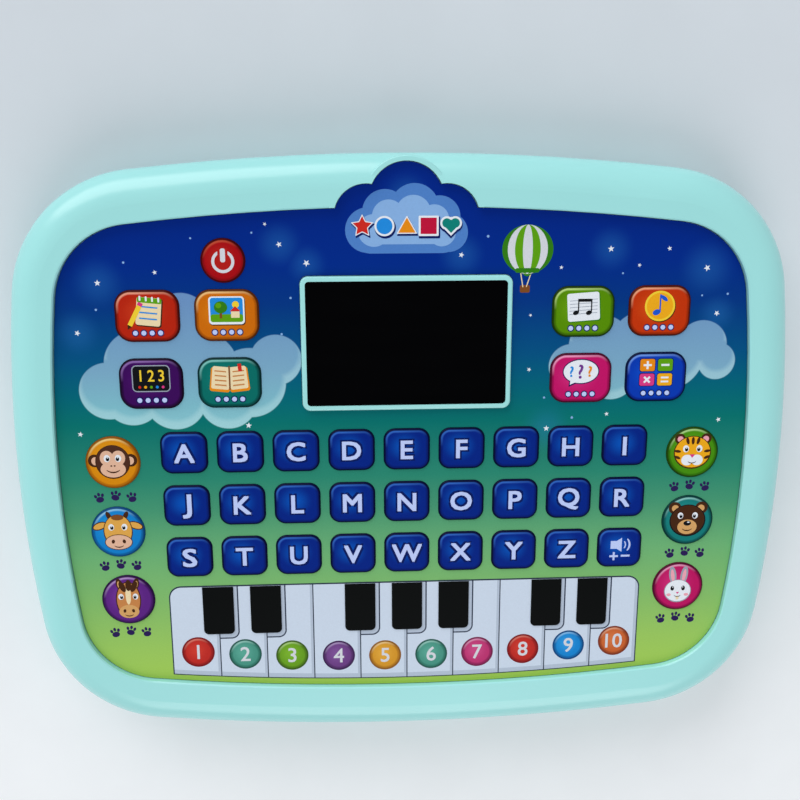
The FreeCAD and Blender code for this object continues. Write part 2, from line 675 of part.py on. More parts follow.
def grille_holes():
    """Hexagonal field of round holes under the speaker."""
    holes = []
    row_pitch = GRILLE_PITCH * math.sqrt(3) / 2
    reach = int(GRILLE_RADIUS / row_pitch) + 1
    for row in range(-reach, reach + 1):
        for column in range(-reach - 1, reach + 2):
            x = (column + 0.5 * (row % 2)) * GRILLE_PITCH
            y = row * row_pitch
            if math.hypot(x, y) <= GRILLE_RADIUS:
                place = Vector(SPEAKER_PLACE[0] + x, SPEAKER_PLACE[1] + y, -1)
                holes.append(Part.makeCylinder(GRILLE_HOLE, WALL + 2, place))
    return holes


def rear_housing():
    """Back shell with a locating lip, screw wells, battery bay and speaker seat."""
    outer = bowed_prism(BODY, REAR_STEP, 0, PARTING_Z)
    outer = outer.makeFillet(BACK_ROUND, edges_at(outer, 0))
    hollow = bowed_prism(BODY, REAR_STEP + WALL, WALL, PARTING_Z + 1)
    hollow = hollow.makeFillet(BACK_ROUND - WALL, edges_at(hollow, WALL))
    lip_low = PARTING_Z - LIP_ROOT
    lip = bowed_prism(BODY, WALL + LIP_GAP, lip_low, PARTING_Z + LIP_RISE)
    lip = lip.cut(bowed_prism(BODY, WALL + LIP_GAP + LIP_THICK, lip_low - 1, PARTING_Z + LIP_RISE + 1))
    shell = outer.cut(hollow)

    bosses = []
    wells = []
    for place in screw_well_places():
        bosses.append(Part.makeCylinder(BOSS_RADIUS, WELL_DEPTH + WELL_FLOOR - WALL / 2,
                                        place + Vector(0, 0, WALL / 2)))
        wells.append(Part.makeCylinder(WELL_RADIUS, WELL_DEPTH + 1, place + Vector(0, 0, -1)))
        wells.append(Part.makeCylinder(SCREW_RADIUS + SCREW_PLAY, WELL_FLOOR + 2,
                                       place + Vector(0, 0, WELL_DEPTH - 1)))
    ring_radius, ring_wall, ring_rise = SPEAKER_RING
    ring_place = Vector(*SPEAKER_PLACE, WALL - MERGE)
    ring = Part.makeCylinder(ring_radius + ring_wall, ring_rise, ring_place)
    ring = ring.cut(Part.makeCylinder(ring_radius, ring_rise, ring_place))
    added, removed = battery_bay()
    return shell.fuse([lip, ring] + bosses + added).cut(wells + removed + grille_holes()).removeSplitter()


def battery_door():
    """Door plate with a rounded upper edge, two tongues, a screw boss and grip grooves outside."""
    half, low, high = door_recess()
    door_half = half - DOOR_GAP
    door_low = low + DOOR_GAP
    hinge_y, hinge_z = hinge_line()
    plate_low, plate_high = DOOR_SINK, DOOR_SINK + DOOR_THICK
    plate = block(-door_half, door_half, door_low, hinge_y, plate_low, plate_high)
    corners = [edge for edge in upright_edges(plate) if edge.firstVertex().Y < door_low + 1]
    plate = plate.makeFillet(DOOR_CORNER, corners)
    bead = Part.makeCylinder(DOOR_THICK / 2, 2 * door_half, Vector(-door_half, hinge_y, hinge_z),
                             Vector(1, 0, 0))
    place = door_screw_place()
    boss = Part.makeCylinder(DOOR_BOSS[0], DOOR_BOSS[1] - plate_low, place + Vector(0, 0, plate_low))
    tongues = []
    tongue_low = plate_high + DOOR_TOP_GAP + TONGUE_LIFT
    for side in (-1, 1):
        x = side * TONGUE_X
        width, reach, thick = TONGUE
        root_y = hinge_y - TONGUE_ROOT
        tongues.append(block(x - width / 2, x + width / 2, root_y, hinge_y + DOOR_THICK / 2 + reach,
                             tongue_low, tongue_low + thick))
        tongues.append(block(x - width / 2, x + width / 2, root_y, hinge_y - TONGUE_BACK,
                             plate_high - MERGE, tongue_low + thick / 2))
    grips = []
    for rib in range(GRIP_RIBS):
        y = door_low + GRIP_START + rib * GRIP_PITCH
        grips.append(block(-GRIP[0] / 2, GRIP[0] / 2, y - GRIP[1] / 2, y + GRIP[1] / 2,
                           plate_low - 1, plate_low + GRIP[2]))
    seat = Part.makeCylinder(SCREW_HEAD[0] + DOOR_HEAD_PLAY, DOOR_HEAD_SEAT - plate_low + 1,
                             place + Vector(0, 0, plate_low - 1))
    hole = Part.makeCylinder(SCREW_RADIUS + DOOR_HOLE_PLAY, DOOR_BOSS[1], place)
    return plate.fuse([bead, boss] + tongues).cut(grips + [seat, hole]).removeSplitter()


def door_screw():
    length = DOOR_SCREW_TIP - DOOR_HEAD_SEAT - DOOR_SCREW_PLAY
    fastener = screw(SCREW_RADIUS, (SCREW_HEAD[0], DOOR_HEAD), length, DOOR_HEAD_SEAT)
    fastener.translate(door_screw_place())
    return fastener


def cell_rows():
    """Y of each cell's axis."""
    return [BAY_CENTRE_Y + (row - (CELL_COUNT - 1) / 2) * CELL_PITCH for row in range(CELL_COUNT)]


def cell_directions():
    """The cells lie head to tail: +1 where the nub points to +X."""
    return [(-1) ** row for row in range(CELL_COUNT)]


def cell_nub_end():
    """X of the nub's tip, for a cell that points to +X."""
    return BAY[0] / 2 - CONTACT[0] - NUB_PLAY


def battery_cells():
    """Three AA cells, each with its nub."""
    radius, rise = CELL_NUB
    can_high = cell_nub_end() - rise
    can = Part.makeCylinder(CELL_RADIUS, CELL_LENGTH, Vector(can_high - CELL_LENGTH, 0, 0), Vector(1, 0, 0))
    rims = [edge for edge in can.Edges if isinstance(edge.Curve, Part.Circle)]
    can = can.makeChamfer(CELL_EDGE, rims)
    cell = can.fuse(Part.makeCylinder(radius, rise + 1, Vector(can_high - 1, 0, 0), Vector(1, 0, 0)))
    cells = []
    for cell_y, direction in zip(cell_rows(), cell_directions()):
        solid = cell.copy()
        if direction < 0:
            solid.rotate(Vector(0, 0, 0), Vector(0, 0, 1), 180)
        solid.translate(Vector(0, cell_y, CELL_Z))
        cells.append(solid)
    return Part.makeCompound(cells)


def battery_plates():
    """Contact plates on the end walls, each with a tab that passes through its wall."""
    thick, width, rise = CONTACT
    tab_length, tab_width, tab_thick = CONTACT_TAB
    wall_x = BAY[0] / 2
    plates = []
    for side in (-1, 1):
        for cell_y in cell_rows():
            inner, outer = sorted((side * (wall_x - thick), side * wall_x))
            plate = block(inner, outer, cell_y - width / 2, cell_y + width / 2,
                          CELL_Z - rise / 2, TAB_Z + tab_thick)
            inner, outer = sorted((side * (wall_x - thick), side * (wall_x - thick + tab_length)))
            tab = block(inner, outer, cell_y - tab_width / 2, cell_y + tab_width / 2,
                        TAB_Z, TAB_Z + tab_thick)
            plates.append(plate.fuse(tab).removeSplitter())
    return Part.makeCompound(plates)


def battery_springs():
    """Leaf springs, each a strip bent to a bow that presses a cell's flat end."""
    thick, width = SPRING_STRIP
    base = -BAY[0] / 2 + CONTACT[0] + SPRING_PLAY
    crown = cell_nub_end() - CELL_NUB[1] - CELL_LENGTH - SPRING_PLAY
    outer = Part.Arc(Vector(base, 0, -SPRING_FOOT), Vector(crown, 0, 0), Vector(base, 0, SPRING_FOOT))
    foot = SPRING_FOOT - thick
    inner = Part.Arc(Vector(base, 0, foot), Vector(crown - thick, 0, 0), Vector(base, 0, -foot))
    feet = [Part.makeLine(Vector(base, 0, side * SPRING_FOOT), Vector(base, 0, side * foot))
            for side in (1, -1)]
    outline = Part.Wire([outer.toShape(), feet[0], inner.toShape(), feet[1]])
    leaf = Part.Face(outline).extrude(Vector(0, width, 0))
    leaf.translate(Vector(0, -width / 2, 0))
    springs = []
    for cell_y, direction in zip(cell_rows(), cell_directions()):
        spring = leaf.copy()
        if direction < 0:
            spring.rotate(Vector(0, 0, 0), Vector(0, 0, 1), 180)
        spring.translate(Vector(0, cell_y, CELL_Z))
        springs.append(spring)
    return Part.makeCompound(springs)


def speaker():
    """Small round speaker, face down over the grille: rim, basket, magnet and cone."""
    rim_z = WALL + SPEAKER_GAP
    magnet_radius, magnet_top, magnet_low = MAGNET
    profile = [(0, magnet_top), (magnet_radius, magnet_top), (magnet_radius, magnet_low), BASKET,
               (SPEAKER_RADIUS, SPEAKER_EDGE), (SPEAKER_RADIUS, 0), (SPEAKER_RADIUS - SURROUND[0], 0),
               (SPEAKER_RADIUS - SURROUND[1], SURROUND[2]), CONE, DUST_CAP[:2], (0, DUST_CAP[2])]
    points = [Vector(radius, 0, rim_z + rise) for radius, rise in profile]
    section = Part.Face(Part.makePolygon(points + points[:1]))
    body = section.revolve(Vector(0, 0, 0), Vector(0, 0, 1), 360)
    body.translate(Vector(*SPEAKER_PLACE, 0))
    return body


def lead(points):
    """One insulated wire along straight runs joined by round bends."""
    edges = []
    start = points[0]
    for before, corner, after in zip(points, points[1:], points[2:]):
        back = (before - corner).normalize()
        ahead = (after - corner).normalize()
        half_turn = (math.pi - back.getAngle(ahead)) / 2
        trim = WIRE_BEND * math.tan(half_turn)
        bend_start = corner + back * trim
        bend_end = corner + ahead * trim
        middle_line = (back + ahead).normalize()
        middle = corner + middle_line * (WIRE_BEND / math.cos(half_turn) - WIRE_BEND)
        edges.append(Part.makeLine(start, bend_start))
        edges.append(Part.Arc(bend_start, middle, bend_end).toShape())
        start = bend_end
    edges.append(Part.makeLine(start, points[-1]))
    path = Part.Wire(edges)
    direction = (points[1] - points[0]).normalize()
    profile = Part.Wire([Part.makeCircle(WIRE_RADIUS, points[0], direction)])
    return path.makePipeShell([profile], True, True)


def plug_entry(side, offset):
    """Point on a lead socket's lower face where a wire goes in."""
    return Vector(side * LEAD_PLUG_PLACE[0] + offset, LEAD_PLUG_PLACE[1] - LEAD_PLUG[1] / 2,
                  BOARD_TOP + LEAD_PLUG[2] / 2)


def battery_leads():
    """One wire from each end of the row of cells to the board."""
    wires = []
    tab_x = BAY[0] / 2 - CONTACT[0] + CONTACT_TAB[0]
    for side, cell_y in ((-1, cell_rows()[-1]), (1, cell_rows()[0])):
        start = Vector(side * (tab_x + WIRE_GAP), cell_y, TAB_Z + CONTACT_TAB[2] / 2)
        end = plug_entry(side, -side * BATTERY_WIRE_X)
        out_x = side * (tab_x + BATTERY_WIRE_OUT)
        pass_y = bay_edges()[1] + BATTERY_WIRE_PASS
        wires.append(lead([start, Vector(out_x, cell_y, start.z), Vector(out_x, pass_y, end.z),
                           Vector(end.x, end.y - BATTERY_WIRE_RISE, end.z), end]))
    return Part.makeCompound(wires)


def speaker_leads():
    """A pair of wires from the speaker's back to the board."""
    wires = []
    out_x, out_y, out_z = SPEAKER_WIRE_START
    run_x, run_y = SPEAKER_WIRE_RUN
    magnet_back = WALL + SPEAKER_GAP + MAGNET[1]
    for offset in (0.0, SPEAKER_WIRE_PITCH):
        start = Vector(SPEAKER_PLACE[0] + out_x + 2 * offset, SPEAKER_PLACE[1] + out_y, magnet_back + out_z)
        end = plug_entry(-1, offset + SPEAKER_WIRE_X)
        wires.append(lead([start, start + Vector(0, 0, SPEAKER_WIRE_LIFT),
                           Vector(start.x + run_x, start.y + run_y - offset, end.z),
                           Vector(end.x, end.y - SPEAKER_WIRE_RISE - offset, end.z), end]))
    return Part.makeCompound(wires)


def pieces():
    """Every node's name with its shape."""
    nodes = {
        "front_housing": front_housing(), "rear_housing": rear_housing(),
        "graphic_overlay": graphic_overlay(), "spacer_sheet": spacer_sheet(),
        "circuit_sheet": circuit_sheet(), "screen_window": screen_window(),
        "display_module": display_module(), "main_board": main_board(),
        "speaker": speaker(), "battery_cells": battery_cells(), "battery_springs": battery_springs(),
        "battery_plates": battery_plates(), "battery_door": battery_door(), "door_screw": door_screw(),
        "housing_screws": housing_screws(), "board_screws": board_screws(),
        "battery_leads": battery_leads(), "speaker_leads": speaker_leads(),
    }
    pads = {family: key_pad(family) for family in ("letter", "mode", "animal", "power")}
    for name, family, x, y in key_places():
        pad = pads[family].copy()
        pad.translate(Vector(x, y, 0))
        nodes[name] = pad
    return nodes


os.makedirs("parts", exist_ok=True)
for node_name, shape in pieces().items():
    shape.exportStep("parts/" + node_name + ".step")
    print(node_name, len(shape.Solids), "solid", round(shape.Volume, 1), "mm3", shape.isValid())
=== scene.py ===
import bmesh
import bpy
import math
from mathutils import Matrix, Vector


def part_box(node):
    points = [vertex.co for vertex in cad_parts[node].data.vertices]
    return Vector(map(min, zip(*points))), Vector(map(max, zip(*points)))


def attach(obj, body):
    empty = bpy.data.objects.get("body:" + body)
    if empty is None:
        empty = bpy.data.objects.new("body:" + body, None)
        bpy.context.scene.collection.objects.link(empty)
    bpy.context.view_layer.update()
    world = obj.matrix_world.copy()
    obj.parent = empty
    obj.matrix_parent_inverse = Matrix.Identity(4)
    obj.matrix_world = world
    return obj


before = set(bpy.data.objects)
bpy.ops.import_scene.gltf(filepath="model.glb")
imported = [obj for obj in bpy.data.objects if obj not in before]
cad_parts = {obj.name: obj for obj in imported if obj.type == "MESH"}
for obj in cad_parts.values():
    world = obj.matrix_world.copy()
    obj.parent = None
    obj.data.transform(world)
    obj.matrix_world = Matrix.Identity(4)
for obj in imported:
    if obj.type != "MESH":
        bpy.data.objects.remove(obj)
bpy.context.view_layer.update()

# Front housing: the bezel and deck of the toy, moulded in one piece of mint ABS.
# It comes from a polished mould, so its large round-over has a soft, clean shine.
mm = 0.001


def linear(code):
    """A colour written as sRGB hex, as the linear values that a shader takes."""
    parts = [int(code[start:start + 2], 16) / 255 for start in (1, 3, 5)]
    return [p / 12.92 if p <= 0.04045 else ((p + 0.055) / 1.055) ** 2.4 for p in parts] + [1.0]


def add_node(tree, kind, inputs=None, **settings):
    """Adds a shader node with its settings, sets or links its inputs, and gives back its outputs."""
    node = tree.nodes.new("ShaderNode" + kind)
    for name, value in settings.items():
        setattr(node, name, value)
    for socket, value in (inputs or {}).items():
        if isinstance(value, bpy.types.NodeSocket):
            tree.links.new(value, node.inputs[socket])
        else:
            node.inputs[socket].default_value = value
    return node.outputs


def blank_material(name):
    """A new material with an empty node tree."""
    material = bpy.data.materials.new(name)
    material.use_nodes = True
    material.node_tree.nodes.clear()
    return material, material.node_tree


def dress(node, material):
    """Gives a CAD node its finish."""
    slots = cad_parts[node].data.materials
    for index in range(len(slots)):
        slots[index] = material


def moulded_plastic(name, light, dark, shine, grit, depth):
    """Moulded plastic: a faint cloudy tone from the melt's flow, and the mould's own fine grit."""
    material, tree = blank_material(name)
    place = add_node(tree, "TexCoord")["Object"]
    flow = add_node(tree, "TexNoise", {"Vector": place, "Scale": 1 / (60 * mm), "Detail": 2.0})[0]
    tone = add_node(tree, "Mix", {0: flow, 6: linear(dark), 7: linear(light)}, data_type="RGBA")[2]
    grain = add_node(tree, "TexNoise", {"Vector": place, "Scale": 1 / (grit * mm), "Detail": 3.0})[0]
    rough = add_node(tree, "MapRange", {0: grain, 3: shine - 0.05, 4: shine + 0.05})[0]
    bump = add_node(tree, "Bump", {"Height": grain, "Strength": 0.25, "Distance": depth * mm})[0]
    surface = add_node(tree, "BsdfPrincipled", {
        "Base Color": tone, "Roughness": rough, "Normal": bump, "IOR": 1.53,
    })[0]
    add_node(tree, "OutputMaterial", {"Surface": surface})
    return material


mint_gloss = moulded_plastic("mint_abs_polished", "#9FE0DE", "#98D9D7", 0.24, 1.4, 0.004)
dress("front_housing", mint_gloss)

# Circuit sheet and spacer sheet: two polyester layers that lie on the deck under the film.
# They are die-cut sheets with printed silver tracks, bonded to the deck and to each other.
def membrane_sheet():
    """Milky polyester with faint silver tracks about 6 mm apart."""
    material, tree = blank_material("polyester_membrane")
    place = add_node(tree, "TexCoord")["Object"]
    lines = add_node(tree, "TexWave", {"Vector": place, "Scale": 1 / (20 * mm), "Distortion": 1.5})[1]
    tracks = add_node(tree, "MapRange", {0: lines, 1: 0.86, 2: 0.92})[0]
    tone = add_node(tree, "Mix", {0: tracks, 6: linear("#D6DDD9"), 7: linear("#9AA3A8")},
                    data_type="RGBA")[2]
    rough = add_node(tree, "MapRange", {0: tracks, 3: 0.45, 4: 0.3})[0]
    surface = add_node(tree, "BsdfPrincipled", {"Base Color": tone, "Roughness": rough, "IOR": 1.57})[0]
    add_node(tree, "OutputMaterial", {"Surface": surface})
    return material


polyester = membrane_sheet()
for sheet in ("circuit_sheet", "spacer_sheet"):
    dress(sheet, polyester)

# Graphic overlay: the printed polyester film that fills the recess, embossed with a row of piano keys.
# Its back is screen-printed with a night-to-meadow sky; clouds, glows and key edges are part of that print.
film_top = 23.0
white_key_rise = 0.25
white_key_pitch = 15.24
black_key_half = 4.95
black_key_low = -57.4
keyboard_half = 76.2
keyboard_corner = 3.5
keyboard_top = -41.0
keyboard_low = -74.6
keyboard_bow_radius = 855.6
sky_stops = [(-78, "#A4CA52"), (-62, "#98C45E"), (-45, "#80B86A"), (-30, "#6BAE73"), (-15, "#459470"),
             (-4.5, "#2A856E"), (13, "#05706A"), (22, "#016474"), (34, "#02507F"), (50, "#023580"),
             (62, "#002A86"), (80, "#012684")]
cloud_stops = [(11, "#8AC6CE"), (19, "#7CB8C6"), (30, "#78A6C2"), (52, "#6A8FBE")]
cloud_discs = [(-91, 24, 9), (-81, 32, 11), (-68, 45, 9), (-64, 30, 13), (-48, 26, 11), (-40, 33, 8),
               (-71, 21, 9.5), (-55, 20.5, 9), (-84, 22, 9), (51, 30, 7), (60, 36, 10), (73, 37, 10),
               (64, 27, 8), (82, 33, 11), (92, 36, 8), (97, 31, 6)]
glow_spots = [(-92, 57, 9), (-38, 68, 8), (-30, 62, 7), (16.5, 64.5, 8), (62, 66, 8), (92, 60, 10),
              (44, 10, 9), (0, 82, 8), (96, 46, 7), (-99, 42, 8)]


def printed_film():
    """Satin polyester over print: smooth colour with a fine printed grain and a low, even sheen."""
    material, tree = blank_material("printed_polyester_film")
    place = add_node(tree, "TexCoord")["Object"]
    local = add_node(tree, "Mapping", {"Vector": place, "Scale": (1000, 1000, 1000)})[0]
    x, y, z = add_node(tree, "SeparateXYZ", {0: local})
    flat = add_node(tree, "CombineXYZ", {0: x, 1: y})[0]

    # The sky and the clouds each shade from top to bottom of the film.
    tones = []
    for stops in (sky_stops, cloud_stops):
        low, high = stops[0][0], stops[-1][0]
        share = add_node(tree, "MapRange", {0: y, 1: low, 2: high})[0]
        tones.append(add_node(tree, "ValToRGB", {0: share})[0])
        ramp = tones[-1].node.color_ramp
        for index, (at, code) in enumerate(stops):
            position = (at - low) / (high - low)
            stop = ramp.elements[index] if index < 2 else ramp.elements.new(position)
            stop.position = position
            stop.color = linear(code)
    sky, clouds = tones

    glow = 0.0
    for spot_x, spot_y, reach in glow_spots:
        away = add_node(tree, "VectorMath", {0: flat, 1: (spot_x, spot_y, 0)}, operation="DISTANCE")[1]
        near = add_node(tree, "MapRange", {0: away, 1: 0.0, 2: reach, 3: 0.22, 4: 0.0},
                        interpolation_type="SMOOTHSTEP")[0]
        glow = add_node(tree, "Math", {0: near, 1: glow}, operation="MAXIMUM")[0]
    sky = add_node(tree, "Mix", {0: glow, 6: sky, 7: linear("#2E7FC8")}, data_type="RGBA")[2]

    # Each cloud's shape is taken twice, once a little higher; where only the lower one lies is its pale edge.
    covers = []
    for rise, soft in ((0, 0.3), (2.0, 1.6)):
        cover = 0.0
        for disc_x, disc_y, radius in cloud_discs:
            middle = (disc_x, disc_y + rise, 0)
            away = add_node(tree, "VectorMath", {0: flat, 1: middle}, operation="DISTANCE")[1]
            disc = add_node(tree, "MapRange", {0: away, 1: radius - soft, 2: radius, 3: 1.0, 4: 0.0})[0]
            cover = add_node(tree, "Math", {0: disc, 1: cover}, operation="MAXIMUM")[0]
        covers.append(cover)
    pale = add_node(tree, "Mix", {0: 0.35, 6: clouds, 7: linear("#BFE4E6")}, data_type="RGBA")[2]
    clouds = add_node(tree, "Mix", {0: covers[1], 6: pale, 7: clouds}, data_type="RGBA")[2]
    sky = add_node(tree, "Mix", {0: covers[0], 6: sky, 7: clouds}, data_type="RGBA")[2]

    # The keyboard's place: straight above with round corners, straight at the sides, and bowed below.
    half = white_key_pitch / 2
    square = add_node(tree, "Math", {0: x, 1: x}, operation="MULTIPLY")[0]
    bow = -0.5 / keyboard_bow_radius
    height = add_node(tree, "Math", {0: square, 1: bow, 2: y}, operation="MULTIPLY_ADD")[0]
    width = add_node(tree, "Math", {0: x}, operation="ABSOLUTE")[0]
    past = add_node(tree, "CombineXYZ", {0: width, 1: y})[0]
    straight = (keyboard_half - keyboard_corner, keyboard_top - keyboard_corner, 0)
    past = add_node(tree, "VectorMath", {0: past, 1: straight}, operation="SUBTRACT")[0]
    past = add_node(tree, "VectorMath", {0: past, 1: (0, 0, 0)}, operation="MAXIMUM")[0]
    past = add_node(tree, "VectorMath", {0: past}, operation="LENGTH")[1]
    inside = add_node(tree, "Math", {0: past, 1: keyboard_corner + 0.45}, operation="LESS_THAN")[0]
    above = add_node(tree, "Math", {0: height, 1: keyboard_low - 0.45}, operation="GREATER_THAN")[0]
    inside = add_node(tree, "Math", {0: inside, 1: above}, operation="MULTIPLY")[0]

    # White keys have a grey right and lower edge, and a grey step with a dark line round each black key.
    joint = add_node(tree, "Math", {0: x, 1: half, 2: -half}, operation="WRAP")[0]
    right_edge = add_node(tree, "Math", {0: joint, 1: -0.5, 2: 0.5}, operation="COMPARE")[0]
    low_edge = add_node(tree, "Math", {0: height, 1: keyboard_low + 1.5}, operation="LESS_THAN")[0]
    shade = add_node(tree, "Math", {0: right_edge, 1: low_edge}, operation="MAXIMUM")[0]
    plain_joint = add_node(tree, "Math", {0: width, 1: 2 * white_key_pitch, 2: half}, operation="COMPARE")[0]
    between = add_node(tree, "Math", {0: width, 1: keyboard_half - half}, operation="LESS_THAN")[0]
    right_of = add_node(tree, "Math", {0: joint, 1: 0.0}, operation="GREATER_THAN")[0]
    by_black = add_node(tree, "Math", {0: between, 1: plain_joint}, operation="SUBTRACT")[0]
    by_black = add_node(tree, "Math", {0: by_black, 1: right_of}, operation="MULTIPLY")[0]
    bend = 2.4
    corner = (bend - black_key_half - 1.3, bend + black_key_low - 1.6, 0)
    turned = add_node(tree, "CombineXYZ", {0: joint, 1: y})[0]
    turned = add_node(tree, "VectorMath", {0: turned, 1: (1, -1, 0), 2: corner}, operation="MULTIPLY_ADD")[0]
    turned = add_node(tree, "VectorMath", {0: turned, 1: (0, 0, 0)}, operation="MAXIMUM")[0]
    out = add_node(tree, "VectorMath", {0: turned}, operation="LENGTH")[1]
    line = add_node(tree, "Math", {0: out, 1: bend, 2: 0.22}, operation="COMPARE")[0]
    line = add_node(tree, "Math", {0: line, 1: by_black}, operation="MULTIPLY")[0]
    step = add_node(tree, "Math", {0: out, 1: bend}, operation="LESS_THAN")[0]
    step = add_node(tree, "Math", {0: step, 1: by_black}, operation="MULTIPLY")[0]
    shade = add_node(tree, "Math", {0: shade, 1: step}, operation="MAXIMUM")[0]
    ivory = add_node(tree, "Mix", {0: shade, 6: linear("#C9D5E5"), 7: linear("#B2BECF")}, data_type="RGBA")[2]
    ivory = add_node(tree, "Mix", {0: line, 6: ivory, 7: linear("#2E384C")}, data_type="RGBA")[2]

    # The keys are told by their relief: grooves lie at the film, white keys above, black keys highest.
    white_level = film_top + 0.3 * white_key_rise
    black_level = white_key_rise + film_top + 0.03
    raised = add_node(tree, "Math", {0: z, 1: white_level}, operation="GREATER_THAN")[0]
    top = add_node(tree, "Math", {0: z, 1: black_level}, operation="GREATER_THAN")[0]
    keys = add_node(tree, "Mix", {0: raised, 6: linear("#2E384C"), 7: ivory}, data_type="RGBA")[2]
    keys = add_node(tree, "Mix", {0: top, 6: keys, 7: linear("#050707")}, data_type="RGBA")[2]
    art = add_node(tree, "Mix", {0: inside, 6: sky, 7: keys}, data_type="RGBA")[2]

    # Print grain is drawn at 0.5 mm, coarser than the real dots, so that it shows.
    # The satin face hardly mirrors, so its specular level is low.
    grain = add_node(tree, "TexNoise", {"Vector": place, "Scale": 1 / (0.5 * mm), "Detail": 2.0})[0]
    dots = add_node(tree, "MapRange", {0: grain, 3: 0.95, 4: 1.05})[0]
    art = add_node(tree, "VectorMath", {0: art, 3: dots}, operation="SCALE")[0]
    rough = add_node(tree, "MapRange", {0: grain, 3: 0.28, 4: 0.38})[0]
    bump = add_node(tree, "Bump", {"Height": grain, "Strength": 0.1, "Distance": 0.01 * mm})[0]
    surface = add_node(tree, "BsdfPrincipled", {
        "Base Color": art, "Roughness": rough, "Normal": bump, "IOR": 1.5, "Specular IOR Level": 0.04,
    })[0]
    add_node(tree, "OutputMaterial", {"Surface": surface})
    return material


dress("graphic_overlay", printed_film())

# Small prints on the film: stars, small sparks, a striped balloon and a badge with plain shapes.
# They are inks laid over the sky print, each area a hair thicker than the one under it.
def screen_ink(name, code):
    """Screen ink: flat colour with slightly uneven cover and the film's low sheen."""
    material, tree = blank_material("ink_" + name)
    place = add_node(tree, "TexCoord")["Object"]
    cover = add_node(tree, "TexNoise", {"Vector": place, "Scale": 1 / (0.6 * mm), "Detail": 2.0})[0]
    dots = add_node(tree, "MapRange", {0: cover, 3: 0.93, 4: 1.05})[0]
    tone = add_node(tree, "VectorMath", {0: linear(code)[:3], 3: dots}, operation="SCALE")[0]
    rough = add_node(tree, "MapRange", {0: cover, 3: 0.28, 4: 0.38})[0]
    surface = add_node(tree, "BsdfPrincipled", {
        "Base Color": tone, "Roughness": rough, "IOR": 1.5, "Specular IOR Level": 0.04,
    })[0]
    add_node(tree, "OutputMaterial", {"Surface": surface})
    return material


ink_codes = {
    "white": "#E4E9F0", "pale": "#BCCAF4", "silver": "#D2D5DC", "black": "#101216", "navy": "#061A5C",
    "red": "#CC2A22", "crimson": "#BC143A", "orange": "#E48A16", "amber": "#EBA81C", "yellow": "#EECB36",
    "green": "#5C9E12", "leaf": "#327A16", "teal": "#0F7F74", "sky": "#2389DA",
    "blue": "#1D56CC", "mist": "#4E7FC4", "haze": "#86AEDE", "purple": "#70388C", "plum": "#2A1C52",
    "pink": "#D63A82", "rose": "#EAA2B0", "cream": "#EAD6AC", "tan": "#D2A064", "brown": "#7E4A22",
    "umber": "#442614", "fawn": "#C4824A", "cocoa": "#4C2C20", "honey": "#DCA44C", "peach": "#DFB398",
    "grey": "#98A1AE", "signal": "#B01E1A",
}
inks = {name: screen_ink(name, code) for name, code in ink_codes.items()}
ink_step = 0.005 * mm
ink_root = 0.03 * mm


